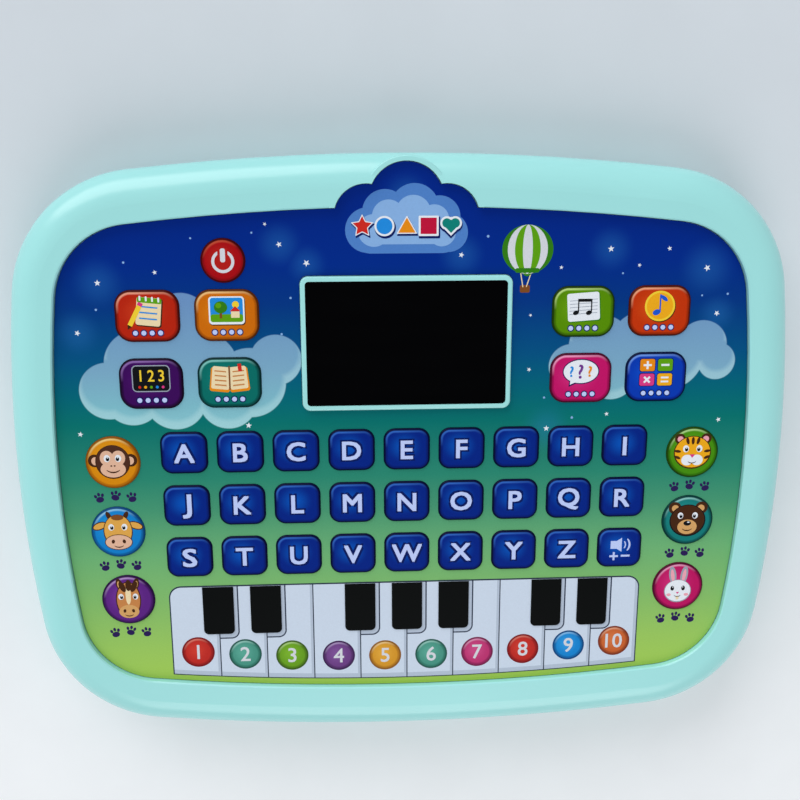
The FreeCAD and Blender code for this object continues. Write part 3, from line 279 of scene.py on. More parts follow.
class Print:
    """A printed piece on one flat place: areas and letters in mm from its centre, each over the last."""

    def __init__(self, name, centre):
        bpy.ops.object.select_all(action="DESELECT")
        bpy.ops.mesh.primitive_plane_add(size=mm)
        self.piece = bpy.context.object
        self.piece.name = name
        self.centre = Vector(centre)
        self.lift = 2 * ink_step
        bpy.ops.object.mode_set(mode="EDIT")
        bpy.ops.mesh.delete(type="VERT")

    def use(self, ink):
        """Makes an ink the active one, adding its slot when it is new here."""
        slots = self.piece.data.materials
        if inks[ink].name not in slots:
            slots.append(inks[ink])
        self.piece.active_material_index = slots.find(inks[ink].name)

    def pick(self, indices):
        """Selects the corners with these numbers and nothing else."""
        bpy.ops.mesh.select_all(action="DESELECT")
        mesh = bmesh.from_edit_mesh(self.piece.data)
        mesh.verts.ensure_lookup_table()
        for index in indices:
            mesh.verts[index].select = True
        mesh.select_flush(True)
        bmesh.update_edit_mesh(self.piece.data)

    def area(self, x, y, width, height, ink, sides=28, turn=0.0, corner=0.0, waist=0.0):
        """An ellipse, a rectangle (4 sides), a polygon, or a star whose waist draws every second point in."""
        place = self.centre + Vector((x * mm, y * mm, self.lift))
        bpy.ops.mesh.select_all(action="DESELECT")
        if sides == 4:
            bpy.ops.mesh.primitive_plane_add(size=mm, location=place)
        else:
            bpy.ops.mesh.primitive_circle_add(vertices=sides, radius=mm / 2, fill_type="NGON", location=place)
        bpy.ops.transform.resize(value=(width, height, 1), center_override=place)
        if waist:
            corners = [v.index for v in bmesh.from_edit_mesh(self.piece.data).verts if v.select]
            self.pick(corners[1::2])
            bpy.ops.transform.resize(value=(waist, waist, 1), center_override=place)
            self.pick(corners)
        if turn:
            bpy.ops.transform.rotate(value=-math.radians(turn), orient_axis="Z", center_override=place)
        if corner:
            bpy.ops.mesh.bevel(offset=corner * mm, segments=5, affect="VERTICES")
        self.use(ink)
        bpy.ops.object.material_slot_assign()
        down = {"value": (0, 0, -self.lift - ink_root)}
        bpy.ops.mesh.extrude_region_move(TRANSFORM_OT_translate=down)
        self.lift += ink_step

    def pair(self, x, y, width, height, ink, turn=0.0):
        """The same area on the left and on the right, the one the mirror of the other."""
        for side in (-1, 1):
            self.area(side * x, y, width, height, ink, turn=side * turn)

    def text(self, words, x, y, height, ink, turn=0.0, weight=0.0, stretch=1.0):
        """Letters of a cap height in mm, centred on a point; a weight in mm makes each stroke wider."""
        nudges = (-weight, weight) if weight else (0,)
        for nudge_x, nudge_y in ((across, along) for across in nudges for along in nudges):
            bpy.ops.object.mode_set(mode="OBJECT")
            bpy.ops.object.select_all(action="DESELECT")
            bpy.ops.object.text_add()
            letters = bpy.context.object
            letters.data.body = words
            letters.data.size = height * mm / 0.73
            letters.data.extrude = (self.lift + ink_root) / 2
            letters.data.resolution_u = 3
            bpy.ops.object.convert(target="MESH")
            bpy.ops.object.origin_set(type="ORIGIN_GEOMETRY", center="BOUNDS")
            middle = (self.lift - ink_root) / 2
            letters.location = self.centre + Vector(((x + nudge_x) * mm, (y + nudge_y) * mm, middle))
            letters.rotation_euler = (0, 0, math.radians(turn))
            letters.scale = (stretch, 1, 1)
            bpy.ops.object.transform_apply()
            letters.data.materials.clear()
            letters.data.materials.append(inks[ink])
            self.piece.select_set(True)
            bpy.context.view_layer.objects.active = self.piece
            bpy.ops.object.join()
            bpy.ops.object.mode_set(mode="EDIT")
            self.lift += ink_step

    def repeat(self, places):
        """Copies what is drawn so far to places given as x, y, size and turn, the last by moving it."""
        count = len(bmesh.from_edit_mesh(self.piece.data).verts)
        for number, (x, y, size, turn) in enumerate(places, start=1):
            self.pick(range(count))
            if number < len(places):
                bpy.ops.mesh.duplicate()
            bpy.ops.transform.resize(value=(size, size, 1), center_override=self.centre)
            bpy.ops.transform.rotate(value=-math.radians(turn), orient_axis="Z", center_override=self.centre)
            bpy.ops.transform.translate(value=(x * mm, y * mm, 0))

    def finish(self, body):
        """Closes the piece: seams merged, faces outwards, fixed to the body that carries it."""
        bpy.ops.mesh.select_all(action="SELECT")
        bpy.ops.mesh.remove_doubles(threshold=0.0005 * mm)
        bpy.ops.mesh.normals_make_consistent(inside=False)
        bpy.ops.object.mode_set(mode="OBJECT")
        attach(self.piece, body)


star_places = [(-92, 57, 2.0), (-75, 60, 1.5), (-38, 68, 1.9), (-30, 62.4, 2.2), (-42, 74, 1.2),
               (16.5, 64.5, 1.8), (47, 60.5, 1.3), (62, 66, 2.1), (80, 66, 1.6), (92, 60, 2.2),
               (96, 46, 1.9), (-99, 42, 1.9), (-100.5, 10.5, 1.8), (44, 10, 2.0), (63, 14.4, 1.5),
               (99, 12, 1.7), (38, 46, 1.1), (38, 29, 1.5), (71, 61, 1.3), (-49, 12.5, 2.0)]
stars = Print("star_prints", (0, 0, film_top * mm))
stars.area(0, 0, 1, 1, "white", sides=10, waist=0.42)
stars.repeat([(x, y, size, 11 * number) for number, (x, y, size) in enumerate(star_places)])
stars.finish("root")

spark_places = [(-84, 63, 0.7), (-46, 71.5, 0.6), (24.5, 70, 0.8), (99, 52, 0.7), (-93, 49, 0.7),
                (52, 13.4, 0.8), (-35, 52, 0.7), (43, 20, 0.7), (66, 58.6, 0.6), (-64, 70, 0.6),
                (91, 51.6, 0.6), (-38, 41, 0.7)]
sparks = Print("spark_prints", (0, 0, film_top * mm))
sparks.area(0, 0, 1, 1, "haze", sides=12)
sparks.repeat([(x, y, size, 0) for x, y, size in spark_places])
sparks.finish("root")

balloon = Print("balloon_print", (36.6 * mm, 65.4 * mm, film_top * mm))
balloon.area(-0.6, -11.3, 3.0, 2.3, "brown", sides=4, corner=0.5)
balloon.area(-1.6, -8.6, 0.3, 4.4, "cream", sides=4, turn=10)
balloon.area(0.5, -8.6, 0.3, 4.4, "cream", sides=4, turn=-18)
balloon.area(0, -4.6, 11.6, 7.0, "leaf", sides=3, turn=180, corner=1.4)
for width, ink in ((15.6, "leaf"), (12.2, "silver"), (7.8, "green"), (3.0, "silver")):
    balloon.area(0, 0.6, width, 14.8, ink, sides=44)
balloon.area(0, -5.7, 7.4, 1.4, "leaf", sides=4, corner=0.6)
balloon.finish("root")

badge = Print("badge_print", (0, 73.6 * mm, film_top * mm))
badge_puffs = ((-11.6, -1.6, 13.4), (-6.4, 3.6, 13.6), (2.4, 4.8, 14.6), (9.8, 2.2, 12.6), (12.6, -2.4, 11.6))
for x, y, size in badge_puffs:
    badge.area(x, y, size, size, "mist", sides=40)
badge.area(0, -4.4, 30, 8.2, "mist", sides=4, corner=4.0)
for x, y, size in badge_puffs:
    badge.area(0.84 * x, 0.8 * y - 0.4, 0.72 * size, 0.72 * size, "haze", sides=40)
badge.area(0, -2.6, 24, 6.4, "haze", sides=4, corner=3.1)
badge_shapes = (("red", -13.2, 10, 0.5), ("sky", -6.6, 28, 0), ("orange", 0.1, 3, 0), ("crimson", 6.6, 4, 0))
for ink, x, sides, waist in badge_shapes:
    size = 6.4 if sides in (3, 10) else 5.2
    y = -0.9 if sides == 3 else -0.4
    badge.area(x + 0.25, y - 0.5, size + 1.2, size + 1.2, "navy", sides=sides, waist=waist, corner=0.3)
    badge.area(x, y, size + 0.8, size + 0.8, "white", sides=sides, waist=waist, corner=0.3)
    badge.area(x, y, size - 0.4, size - 0.4, ink, sides=sides, waist=waist, corner=0.2)
for ink, grow, drop in (("navy", 1.2, 0.5), ("white", 0.8, 0.0), ("teal", -0.4, 0.0)):
    for side in (-1, 1):
        badge.area(13.3 + side * 1.25, 0.4 - drop, 3.2 + grow, 3.2 + grow, ink)
    badge.area(13.3, -0.55 - drop, 3.2 + grow, 3.2 + grow, ink, sides=4, turn=45)
badge.finish("root")

# Letter keys: twenty-six pads and a volume pad, formed in the film and pushed down 0.4 mm to a contact.
# Each has a dark printed outline and a blue face that is lighter in the middle.
# Its letter is printed in pale ink over a dark edge; J and S are drawn wider, as they are narrow.
def key_face(name, centre, half, corner, codes, wrap=None):
    """Formed film over print: a dark outline, a lit upper edge, and a face that glows in the middle."""
    outline, face, glow, lit, shaded = (linear(code) for code in codes)
    material, tree = blank_material(name)
    place = add_node(tree, "TexCoord")["Object"]
    local = add_node(tree, "Mapping", {
        "Vector": place, "Location": (-centre[0], -centre[1], 0), "Scale": (1000, 1000, 1000)})[0]
    if wrap:
        reach = (wrap / 2, wrap / 2, 100)
        back = (-wrap / 2, -wrap / 2, -100)
        local = add_node(tree, "VectorMath", {0: local, 1: reach, 2: back}, operation="WRAP")[0]
    flat = add_node(tree, "VectorMath", {0: local, 1: (1, 1, 0)}, operation="MULTIPLY")[0]

    # Depth in from the rounded outline, in mm.
    core = (half[0] - corner, half[1] - corner, 0)
    folded = add_node(tree, "VectorMath", {0: flat}, operation="ABSOLUTE")[0]
    folded = add_node(tree, "VectorMath", {0: folded, 1: core}, operation="SUBTRACT")[0]
    beyond = add_node(tree, "VectorMath", {0: folded, 1: (0, 0, 0)}, operation="MAXIMUM")[0]
    beyond = add_node(tree, "VectorMath", {0: beyond}, operation="LENGTH")[1]
    fold_x, fold_y, _ = add_node(tree, "SeparateXYZ", {0: folded})
    within = add_node(tree, "Math", {0: fold_x, 1: fold_y}, operation="MAXIMUM")[0]
    within = add_node(tree, "Math", {0: within, 1: 0.0}, operation="MINIMUM")[0]
    depth = add_node(tree, "Math", {0: corner, 1: beyond}, operation="SUBTRACT")[0]
    depth = add_node(tree, "Math", {0: depth, 1: within}, operation="SUBTRACT")[0]

    share = add_node(tree, "VectorMath", {0: flat, 1: (half[0], half[1], 1)}, operation="DIVIDE")[0]
    away = add_node(tree, "VectorMath", {0: share, 1: (-0.12, 0.12, 0)}, operation="DISTANCE")[1]
    warm = add_node(tree, "MapRange", {0: away, 1: 0.0, 2: 0.85, 3: 1.0, 4: 0.0},
                    interpolation_type="SMOOTHSTEP")[0]
    tone = add_node(tree, "Mix", {0: warm, 6: face, 7: glow}, data_type="RGBA")[2]
    slope = add_node(tree, "VectorMath", {0: share, 1: (-0.3, 0.95, 0)}, operation="DOT_PRODUCT")[1]
    lit_share = add_node(tree, "MapRange", {0: slope, 1: 0.35, 2: 0.95})[0]
    edge = add_node(tree, "Mix", {0: lit_share, 6: shaded, 7: lit}, data_type="RGBA")[2]
    band = add_node(tree, "MapRange", {0: depth, 1: 0.95, 2: 1.4, 3: 1.0, 4: 0.0})[0]
    tone = add_node(tree, "Mix", {0: band, 6: tone, 7: edge}, data_type="RGBA")[2]
    rim = add_node(tree, "MapRange", {0: depth, 1: 0.45, 2: 0.75, 3: 1.0, 4: 0.0})[0]
    tone = add_node(tree, "Mix", {0: rim, 6: tone, 7: outline}, data_type="RGBA")[2]

    grain = add_node(tree, "TexNoise", {"Vector": place, "Scale": 1 / (0.5 * mm), "Detail": 2.0})[0]
    dots = add_node(tree, "MapRange", {0: grain, 3: 0.94, 4: 1.06})[0]
    tone = add_node(tree, "VectorMath", {0: tone, 3: dots}, operation="SCALE")[0]
    rough = add_node(tree, "MapRange", {0: grain, 3: 0.28, 4: 0.38})[0]
    bump = add_node(tree, "Bump", {"Height": grain, "Strength": 0.1, "Distance": 0.01 * mm})[0]
    surface = add_node(tree, "BsdfPrincipled", {
        "Base Color": tone, "Roughness": rough, "Normal": bump, "IOR": 1.5, "Specular IOR Level": 0.04,
    })[0]
    add_node(tree, "OutputMaterial", {"Surface": surface})
    return material


def key_top(node):
    """The middle of a key's flat top."""
    low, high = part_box(node)
    return (low.x + high.x) / 2, (low.y + high.y) / 2, high.z


letter_pitch = 17.3
letter_half = (7.2, 6.65)
letter_corner = 3.5
letter_height = 6.1
letter_strokes = (("navy", 0.75), ("navy", 0.42), ("pale", 0.18))
narrow_letters = "js"
letter_middle = [value / mm for value in key_top("key_n")[:2]]
letter_codes = ("#030A34", "#032480", "#0650B2", "#3164BC", "#031C6C")
letter_blue = key_face("key_film_blue", letter_middle, letter_half, letter_corner, letter_codes, letter_pitch)
for letter in "abcdefghijklmnopqrstuvwxyz":
    node = "key_" + letter
    dress(node, letter_blue)
    legend = Print("legend_" + letter, key_top(node))
    stretch = 1.3 if letter in narrow_letters else 1.07
    for ink, weight in letter_strokes:
        legend.text(letter.upper(), 0, -0.2, letter_height, ink, weight=weight, stretch=stretch)
    legend.finish(node)

dress("key_volume", letter_blue)
volume = Print("legend_volume", key_top("key_volume"))
volume.area(-1.85, 1.0, 2.1, 2.7, "pale", sides=4)
volume.area(-0.5, 1.0, 5.54, 5.0, "pale", sides=3, turn=90)
for x, size in ((1.8, 1.8), (3.0, 3.1)):
    volume.text(")", x, 1.0, size, "pale", weight=0.08)
volume.area(-1.75, -2.9, 2.8, 0.65, "pale", sides=4)
volume.area(-1.75, -2.9, 0.65, 2.8, "pale", sides=4)
volume.area(2.05, -2.8, 2.9, 0.65, "pale", sides=4)
volume.finish("key_volume")

# Piano numbers: ten discs printed on the white piano keys, each in its own colour, counted from the left.
# Each has a darker printed outline and a lit upper edge, and a plain number in silver ink.
number_codes = {
    "red": ("#7C171B", "#BA2B25", "#CC3B2F", "#DE7E6E", "#98211F"),
    "jade": ("#28594F", "#489180", "#5AA694", "#9CCFC2", "#357868"),
    "green": ("#3D5D1C", "#669B21", "#7BB12F", "#B4D888", "#507C19"),
    "purple": ("#3F2351", "#6B3F81", "#7F5397", "#B29AC6", "#543267"),
    "orange": ("#8C5C24", "#D1932B", "#DFA53D", "#F0CE90", "#B07621"),
    "pink": ("#76214B", "#BA356F", "#CA4B85", "#E29ABC", "#94275B"),
    "sky": ("#14487C", "#1781CB", "#2F97DD", "#8CC6F0", "#1365A5"),
    "rust": ("#7C3521", "#C4602F", "#D27441", "#E8A888", "#9E4A25"),
}
number_order = ("red", "jade", "green", "purple", "orange", "jade", "pink", "red", "sky", "rust")
number_radius = 5.3
number_height = 5.2
number_row = -66.6
number_row_bow = 2.95
for number, colour in enumerate(number_order, start=1):
    x = (number - 5.5) * white_key_pitch + 0.4
    y = number_row + number_row_bow * (x / (4.5 * white_key_pitch)) ** 2
    ink = f"disc_{number}"
    inks[ink] = key_face("ink_" + ink, (x, y), (number_radius,) * 2, number_radius, number_codes[colour])
    disc = Print(f"number_{number}", (x * mm, y * mm, (film_top + white_key_rise) * mm))
    disc.area(0, 0, 2 * number_radius, 2 * number_radius, ink, sides=44)
    disc.text(str(number), 0, 0, number_height, "silver", weight=0.07)
    disc.finish("root")

# Mode keys: eight larger pads beside the screen, four a side, formed in the film like the letter keys.
# Each has its own bright colour and a pale upper edge.
# A small picture tells what the key starts, and a row of printed beads runs below it.
mode_half = (9.6, 7.8)
mode_corner = 4.9
mode_picture_size = 0.8
mode_picture_rise = 1.5
bead_pitch = 2.5
bead_row = -5.1
mode_codes = {
    "key_notepad": ("#4A0A06", "#B3240F", "#C83A1C", "#E89A80", "#8E1A0A"),
    "key_card": ("#5C2A04", "#C9690A", "#DA8014", "#EEBE7C", "#A45206"),
    "key_display": ("#17031F", "#3A0A56", "#4C126C", "#8E68AC", "#27063A"),
    "key_book": ("#022C2C", "#086A62", "#0E7E74", "#7CC2BA", "#054C48"),
    "key_song": ("#1E3A02", "#558A04", "#6AA010", "#BADA80", "#3E6A02"),
    "key_tune": ("#521404", "#BE340A", "#D04C14", "#EEA27C", "#982806"),
    "key_question": ("#4E0628", "#BE1464", "#D02E7C", "#EE98C0", "#960C4C"),
    "key_sums": ("#03103A", "#0838AC", "#0E50CC", "#6A94E4", "#06268A"),
}
for node, codes in mode_codes.items():
    centre = [value / mm for value in key_top(node)[:2]]
    dress(node, key_face(node + "_film", centre, mode_half, mode_corner, codes))


def finish_mode(legend, node):
    """Draws the picture in and up, sets a row of pale beads below it and fixes both to their key."""
    legend.repeat([(0, mode_picture_rise, mode_picture_size, 0)])
    for size, ink in ((2.1, "navy"), (1.5, "pale")):
        for bead in range(4):
            legend.area(bead_pitch * (bead - 1.5), bead_row, size, size, ink, sides=16)
    legend.finish(node)


def music_note(legend, x, y, size, ink):
    """A note head with its stem, drawn to a size in mm."""
    legend.area(x, y, 0.36 * size, 0.26 * size, ink, turn=20)
    legend.area(x + 0.15 * size, y + 0.4 * size, 0.07 * size, 0.8 * size, ink, sides=4)


legend = Print("legend_notepad", key_top("key_notepad"))
legend.area(0.9, -0.5, 9.6, 11.0, "umber", sides=4, corner=1.0, turn=-6)
legend.area(0.6, -0.2, 9.2, 10.6, "cream", sides=4, corner=0.9, turn=-6)
legend.area(1.1, 4.0, 9.0, 2.0, "green", sides=4, corner=0.5, turn=-6)
for hole in range(4):
    legend.area(-2.4 + 2.3 * hole, 4.9 - 0.24 * hole, 0.7, 1.9, "white", sides=4, corner=0.3)
for row in range(3):
    legend.area(0.7 - 0.2 * row, 1.5 - 2.2 * row, 6.6, 0.5, "sky", sides=4, turn=-6)
legend.area(-4.6, -1.6, 1.8, 8.6, "yellow", sides=4, turn=-28)
legend.area(-6.9, -5.9, 2.0, 2.2, "umber", sides=3, turn=152)
legend.area(-2.4, 2.6, 1.8, 1.3, "pink", sides=4, turn=-28)
finish_mode(legend, "key_notepad")

legend = Print("legend_card", key_top("key_card"))
legend.area(0.2, -0.3, 13.6, 10.8, "umber", sides=4, corner=1.4)
legend.area(0, 0, 13.4, 10.6, "white", sides=4, corner=1.4)
legend.area(0, 0.2, 12.2, 9.2, "sky", sides=4, corner=1.0)
legend.area(0, -2.9, 12.2, 3.0, "green", sides=4, corner=0.9)
legend.area(-2.2, -1.4, 1.0, 3.2, "brown", sides=4)
legend.area(-2.2, 1.2, 5.0, 4.6, "leaf")
legend.area(-3.0, 1.9, 2.2, 2.0, "green")
legend.area(3.4, 2.2, 2.6, 2.6, "yellow")
legend.area(3.2, -1.6, 3.2, 2.4, "cream", sides=4)
legend.area(3.2, 0.3, 4.6, 2.6, "red", sides=3)
finish_mode(legend, "key_card")

legend = Print("legend_display", key_top("key_display"))
legend.area(0, 0.2, 14.4, 10.4, "grey", sides=4, corner=1.8)
legend.area(0, 0.2, 13.6, 9.6, "black", sides=4, corner=1.4)
for x, figure in ((-3.9, "1"), (0, "2"), (3.9, "3")):
    legend.text(figure, x, 1.3, 4.6, "yellow", weight=0.06, stretch=0.9)
for light, ink in enumerate(("red", "amber", "green", "sky", "pink")):
    legend.area(-4.4 + 2.2 * light, -3.1, 1.1, 1.1, ink, sides=16)
finish_mode(legend, "key_display")

legend = Print("legend_book", key_top("key_book"))
for side in (-1, 1):
    legend.area(side * 3.5, -0.6, 7.6, 9.4, "orange", sides=4, corner=0.9, turn=side * 6)
for side in (-1, 1):
    legend.area(side * 3.3, 0.1, 6.8, 8.8, "cream", sides=4, corner=0.8, turn=side * 6)
for row in range(4):
    for side in (-1, 1):
        legend.area(side * 3.4, 2.6 - 1.8 * row + 0.1, 4.4, 0.5, "fawn", sides=4, turn=side * 6)
legend.area(0, 0.1, 0.6, 9.2, "brown", sides=4)
legend.area(4.0, 4.1, 1.4, 3.0, "red", sides=4, turn=6)
finish_mode(legend, "key_book")

legend = Print("legend_song", key_top("key_song"))
legend.area(0.3, -0.3, 12.6, 11.0, "leaf", sides=4, corner=0.9, turn=4)
legend.area(0, 0, 12.4, 10.8, "white", sides=4, corner=0.9, turn=4)
for row in range(5):
    legend.area(0, 2.6 - 1.3 * row, 10.8, 0.22, "grey", sides=4, turn=4)
for x in (-2.9, 2.1):
    music_note(legend, x, -2.3, 6.4, "black")
legend.area(0.55, 2.5, 5.5, 1.1, "black", sides=4)
finish_mode(legend, "key_song")

legend = Print("legend_tune", key_top("key_tune"))
legend.area(0.2, -0.3, 12.0, 12.0, "umber", sides=40)
legend.area(0, 0, 11.8, 11.8, "yellow", sides=40)
legend.area(0, 0, 10.2, 10.2, "amber", sides=40)
music_note(legend, -1.2, -2.4, 8.6, "blue")
legend.area(1.5, 3.0, 3.4, 1.5, "blue", turn=-38)
finish_mode(legend, "key_tune")

legend = Print("legend_question", key_top("key_question"))
legend.area(-3.4, -3.6, 4.4, 4.4, "plum", sides=3, turn=24)
legend.area(0, 0.7, 14.4, 10.0, "plum", sides=40)
legend.area(-3.2, -3.1, 3.4, 3.6, "white", sides=3, turn=24)
legend.area(0, 0.7, 13.6, 9.2, "white", sides=40)
for x, ink in ((-3.6, "sky"), (0, "purple"), (3.6, "orange")):
    legend.text("?", x, 0.7, 5.6 if ink == "purple" else 4.2, ink, weight=0.1)
finish_mode(legend, "key_question")

legend = Print("legend_sums", key_top("key_sums"))
tiles = ((-3.5, 2.9, "orange", "+"), (3.5, 2.9, "green", "-"), (-3.5, -2.9, "pink", "x"),
         (3.5, -2.9, "amber", "="))
for x, y, ink, sign in tiles:
    legend.area(x, y, 6.4, 5.4, "navy", sides=4, corner=1.0)
for x, y, ink, sign in tiles:
    legend.area(x, y, 5.8, 4.8, ink, sides=4, corner=0.8)
for x, y, ink, sign in tiles:
    bars = {"+": (0, 90), "-": (0,), "x": (45, -45), "=": ()}[sign]
    for turn in bars:
        legend.area(x, y, 3.2, 0.8, "white", sides=4, turn=turn)
    if sign == "=":
        for offset in (-0.8, 0.8):
            legend.area(x, y + offset, 3.0, 0.7, "white", sides=4)
finish_mode(legend, "key_sums")

# Power key: one small round red pad above the mode keys, formed in the film.
# It carries the common mark for switching on: a broken ring with a bar in the gap.
power_radius = 6.6
power_codes = ("#4A0608", "#A40C14", "#B4221A", "#C85238", "#8A0A12")
power_centre = [value / mm for value in key_top("key_power")[:2]]
dress("key_power", key_face("key_film_red", power_centre, (power_radius,) * 2, power_radius, power_codes))
legend = Print("legend_power", key_top("key_power"))
legend.area(0, -0.3, 6.8, 6.8, "silver", sides=40)
legend.area(0, -0.3, 5.0, 5.0, "signal", sides=40)
legend.area(0, 2.3, 3.0, 2.8, "signal", sides=4)
legend.area(0, 1.55, 1.5, 4.1, "silver", sides=4, corner=0.6)
legend.finish("key_power")

# Animal keys: six round pads at the ends of the letter rows, three a side, formed in the film.
# Each shows a plain animal head from the front on its own colour, with paw marks printed below.
animal_radius = 8.35
animal_size = 1.14
animal_codes = {
    "key_monkey": ("#8E5206", "#D4860E", "#E0A022", "#F2D488", "#B0680A"),
    "key_calf": ("#0A4478", "#127CC6", "#2498DC", "#90C8EC", "#0D5C98"),
    "key_foal": ("#2C0E42", "#5A247E", "#743A9A", "#B894CE", "#421860"),
    "key_tiger": ("#1E4204", "#448A0E", "#5EA422", "#B2D88C", "#306C08"),
    "key_bear": ("#053836", "#147674", "#289490", "#8ECCC6", "#0C5654"),
    "key_rabbit": ("#54082C", "#B8165E", "#CE2E78", "#EE9CC2", "#8C0C48"),
}
for node, codes in animal_codes.items():
    centre = [value / mm for value in key_top(node)[:2]]
    dress(node, key_face(node + "_film", centre, (animal_radius,) * 2, animal_radius, codes))


def eyes(legend, spread, y, size):
    """Two round white eyes with dark pupils and a glint in each."""
    legend.pair(spread, y, size, 1.2 * size, "white")
    legend.pair(spread - 0.1 * size, y - 0.1 * size, 0.55 * size, 0.7 * size, "black")
    legend.pair(spread - 0.1 * size, y + 0.12 * size, 0.2 * size, 0.2 * size, "white")


legend = Print("legend_monkey", key_top("key_monkey"))
legend.pair(4.9, 0.6, 3.4, 3.6, "umber")
legend.pair(4.7, 0.5, 2.0, 2.3, "peach")
legend.area(0, 0.2, 9.4, 9.6, "umber")
legend.area(0, 0.4, 8.8, 9.0, "cocoa")
legend.pair(1.55, 1.3, 3.7, 4.2, "peach")
legend.area(0, -1.9, 6.8, 4.6, "peach")
eyes(legend, 1.5, 1.2, 1.7)
legend.pair(0.45, -0.9, 0.5, 0.4, "umber")
legend.text(")", 0, -2.5, 2.8, "umber", turn=-90)
legend.repeat([(0, 0, animal_size, 0)])
legend.finish("key_monkey")

legend = Print("legend_calf", key_top("key_calf"))
legend.pair(4.9, 1.9, 4.2, 2.3, "umber", turn=-20)
legend.pair(4.9, 1.9, 3.6, 1.7, "honey", turn=-20)
legend.pair(2.3, 4.8, 1.3, 2.7, "umber", turn=-24)
legend.area(0, 0.3, 8.0, 9.8, "umber")
legend.area(0, 0.4, 7.5, 9.3, "honey")
legend.area(0, 4.3, 3.4, 1.6, "brown")
legend.area(0, -2.9, 7.6, 4.6, "umber")
legend.area(0, -2.9, 7.2, 4.2, "peach")
legend.pair(1.5, -2.7, 0.9, 1.2, "umber", turn=12)
eyes(legend, 1.8, 1.5, 1.6)
legend.text(")", 0, -4.2, 2.0, "umber", turn=-90)
legend.repeat([(0, 0, animal_size, 0)])
legend.finish("key_calf")

legend = Print("legend_foal", key_top("key_foal"))
legend.pair(2.3, 4.7, 1.8, 3.6, "umber", turn=-12)
legend.pair(2.3, 4.5, 1.0, 2.4, "tan", turn=-12)
legend.area(0, 0.0, 7.0, 11.0, "umber")
legend.area(0, 0.0, 6.4, 10.4, "fawn")
legend.area(0, 1.6, 1.5, 6.0, "cream")
for x, y, turn in ((-1.5, 4.0, 24), (0.2, 4.4, 0), (1.7, 4.0, -24)):
    legend.area(x, y, 1.6, 3.4, "umber", turn=turn)
legend.area(0, -3.5, 5.6, 4.0, "tan")
legend.pair(1.2, -3.3, 0.8, 1.1, "umber", turn=10)
eyes(legend, 2.0, 1.0, 1.5)
legend.text(")", 0, -4.7, 1.8, "umber", turn=-90)
legend.repeat([(0, 0, animal_size, 0)])
legend.finish("key_foal")

legend = Print("legend_tiger", key_top("key_tiger"))
legend.pair(3.7, 4.0, 3.0, 3.0, "umber")
legend.pair(3.6, 3.9, 1.7, 1.7, "rose")
legend.area(0, 0.0, 10.6, 9.6, "umber")
legend.area(0, 0.1, 10.0, 9.0, "amber")
for x, turn in ((-1.5, 14), (0, 0), (1.5, -14)):
    legend.area(x, 3.4, 0.9, 2.2, "umber", turn=turn)
for y, turn in ((0.4, 8), (-1.4, 22)):
    for side in (-1, 1):
        legend.area(side * 4.2, y, 1.9, 0.8, "umber", turn=side * turn)
legend.pair(1.4, -2.2, 3.3, 3.1, "white")
legend.area(0, -0.9, 1.8, 1.4, "pink", sides=3, turn=180, corner=0.2)
eyes(legend, 1.9, 1.1, 1.7)
legend.text(")", 0, -2.9, 1.8, "umber", turn=-90)
legend.repeat([(0, 0, animal_size, 0)])
legend.finish("key_tiger")

legend = Print("legend_bear", key_top("key_bear"))
legend.pair(3.8, 3.7, 3.6, 3.6, "umber")
legend.pair(3.7, 3.6, 2.0, 2.0, "tan")
legend.area(0, -0.1, 10.4, 9.6, "black")
legend.area(0, 0.0, 9.8, 9.0, "umber")
legend.area(0, -2.0, 5.6, 4.4, "tan")
legend.area(0, -0.9, 2.2, 1.5, "black")
legend.area(0.3, -0.6, 0.7, 0.4, "white")
eyes(legend, 2.1, 1.4, 1.6)
legend.text(")", 0, -2.9, 2.2, "umber", turn=-90)
legend.repeat([(0, 0, animal_size, 0)])
legend.finish("key_bear")

legend = Print("legend_rabbit", key_top("key_rabbit"))
legend.pair(1.9, 4.0, 2.4, 6.2, "grey", turn=-8)
legend.pair(1.9, 3.8, 1.2, 4.6, "rose", turn=-8)
legend.area(0, -1.6, 9.0, 8.0, "grey")
legend.area(0, -1.5, 8.5, 7.5, "white")
legend.pair(2.9, -2.9, 1.5, 1.0, "rose")
legend.pair(1.8, -0.6, 1.2, 1.7, "black")
legend.pair(1.65, -0.2, 0.4, 0.4, "white")
legend.area(0, -2.2, 1.3, 0.9, "pink", sides=3, turn=180, corner=0.2)
legend.text(")", 0, -3.4, 1.7, "umber", turn=-90)
legend.area(0, -4.1, 0.9, 0.9, "cream", sides=4)
legend.finish("key_rabbit")

paws = Print("paw_prints", (0, 0, film_top * mm))
paws.area(0, -0.7, 2.5, 1.9, "plum", sides=16)
for toe in (-1, 0, 1):
    paws.area(1.1 * toe, 1.05 - 0.45 * abs(toe), 0.9, 1.25, "plum", sides=12, turn=-18 * toe)
paw_places = []
for node in animal_codes:
    x, y, _ = (value / mm for value in key_top(node))
    paw_places += [(x - 5.0, y - 11.5, 1, 12), (x, y - 10.9, 1, -10), (x + 5.0, y - 11.5, 1, 12)]
paws.repeat(paw_places)
paws.finish("root")

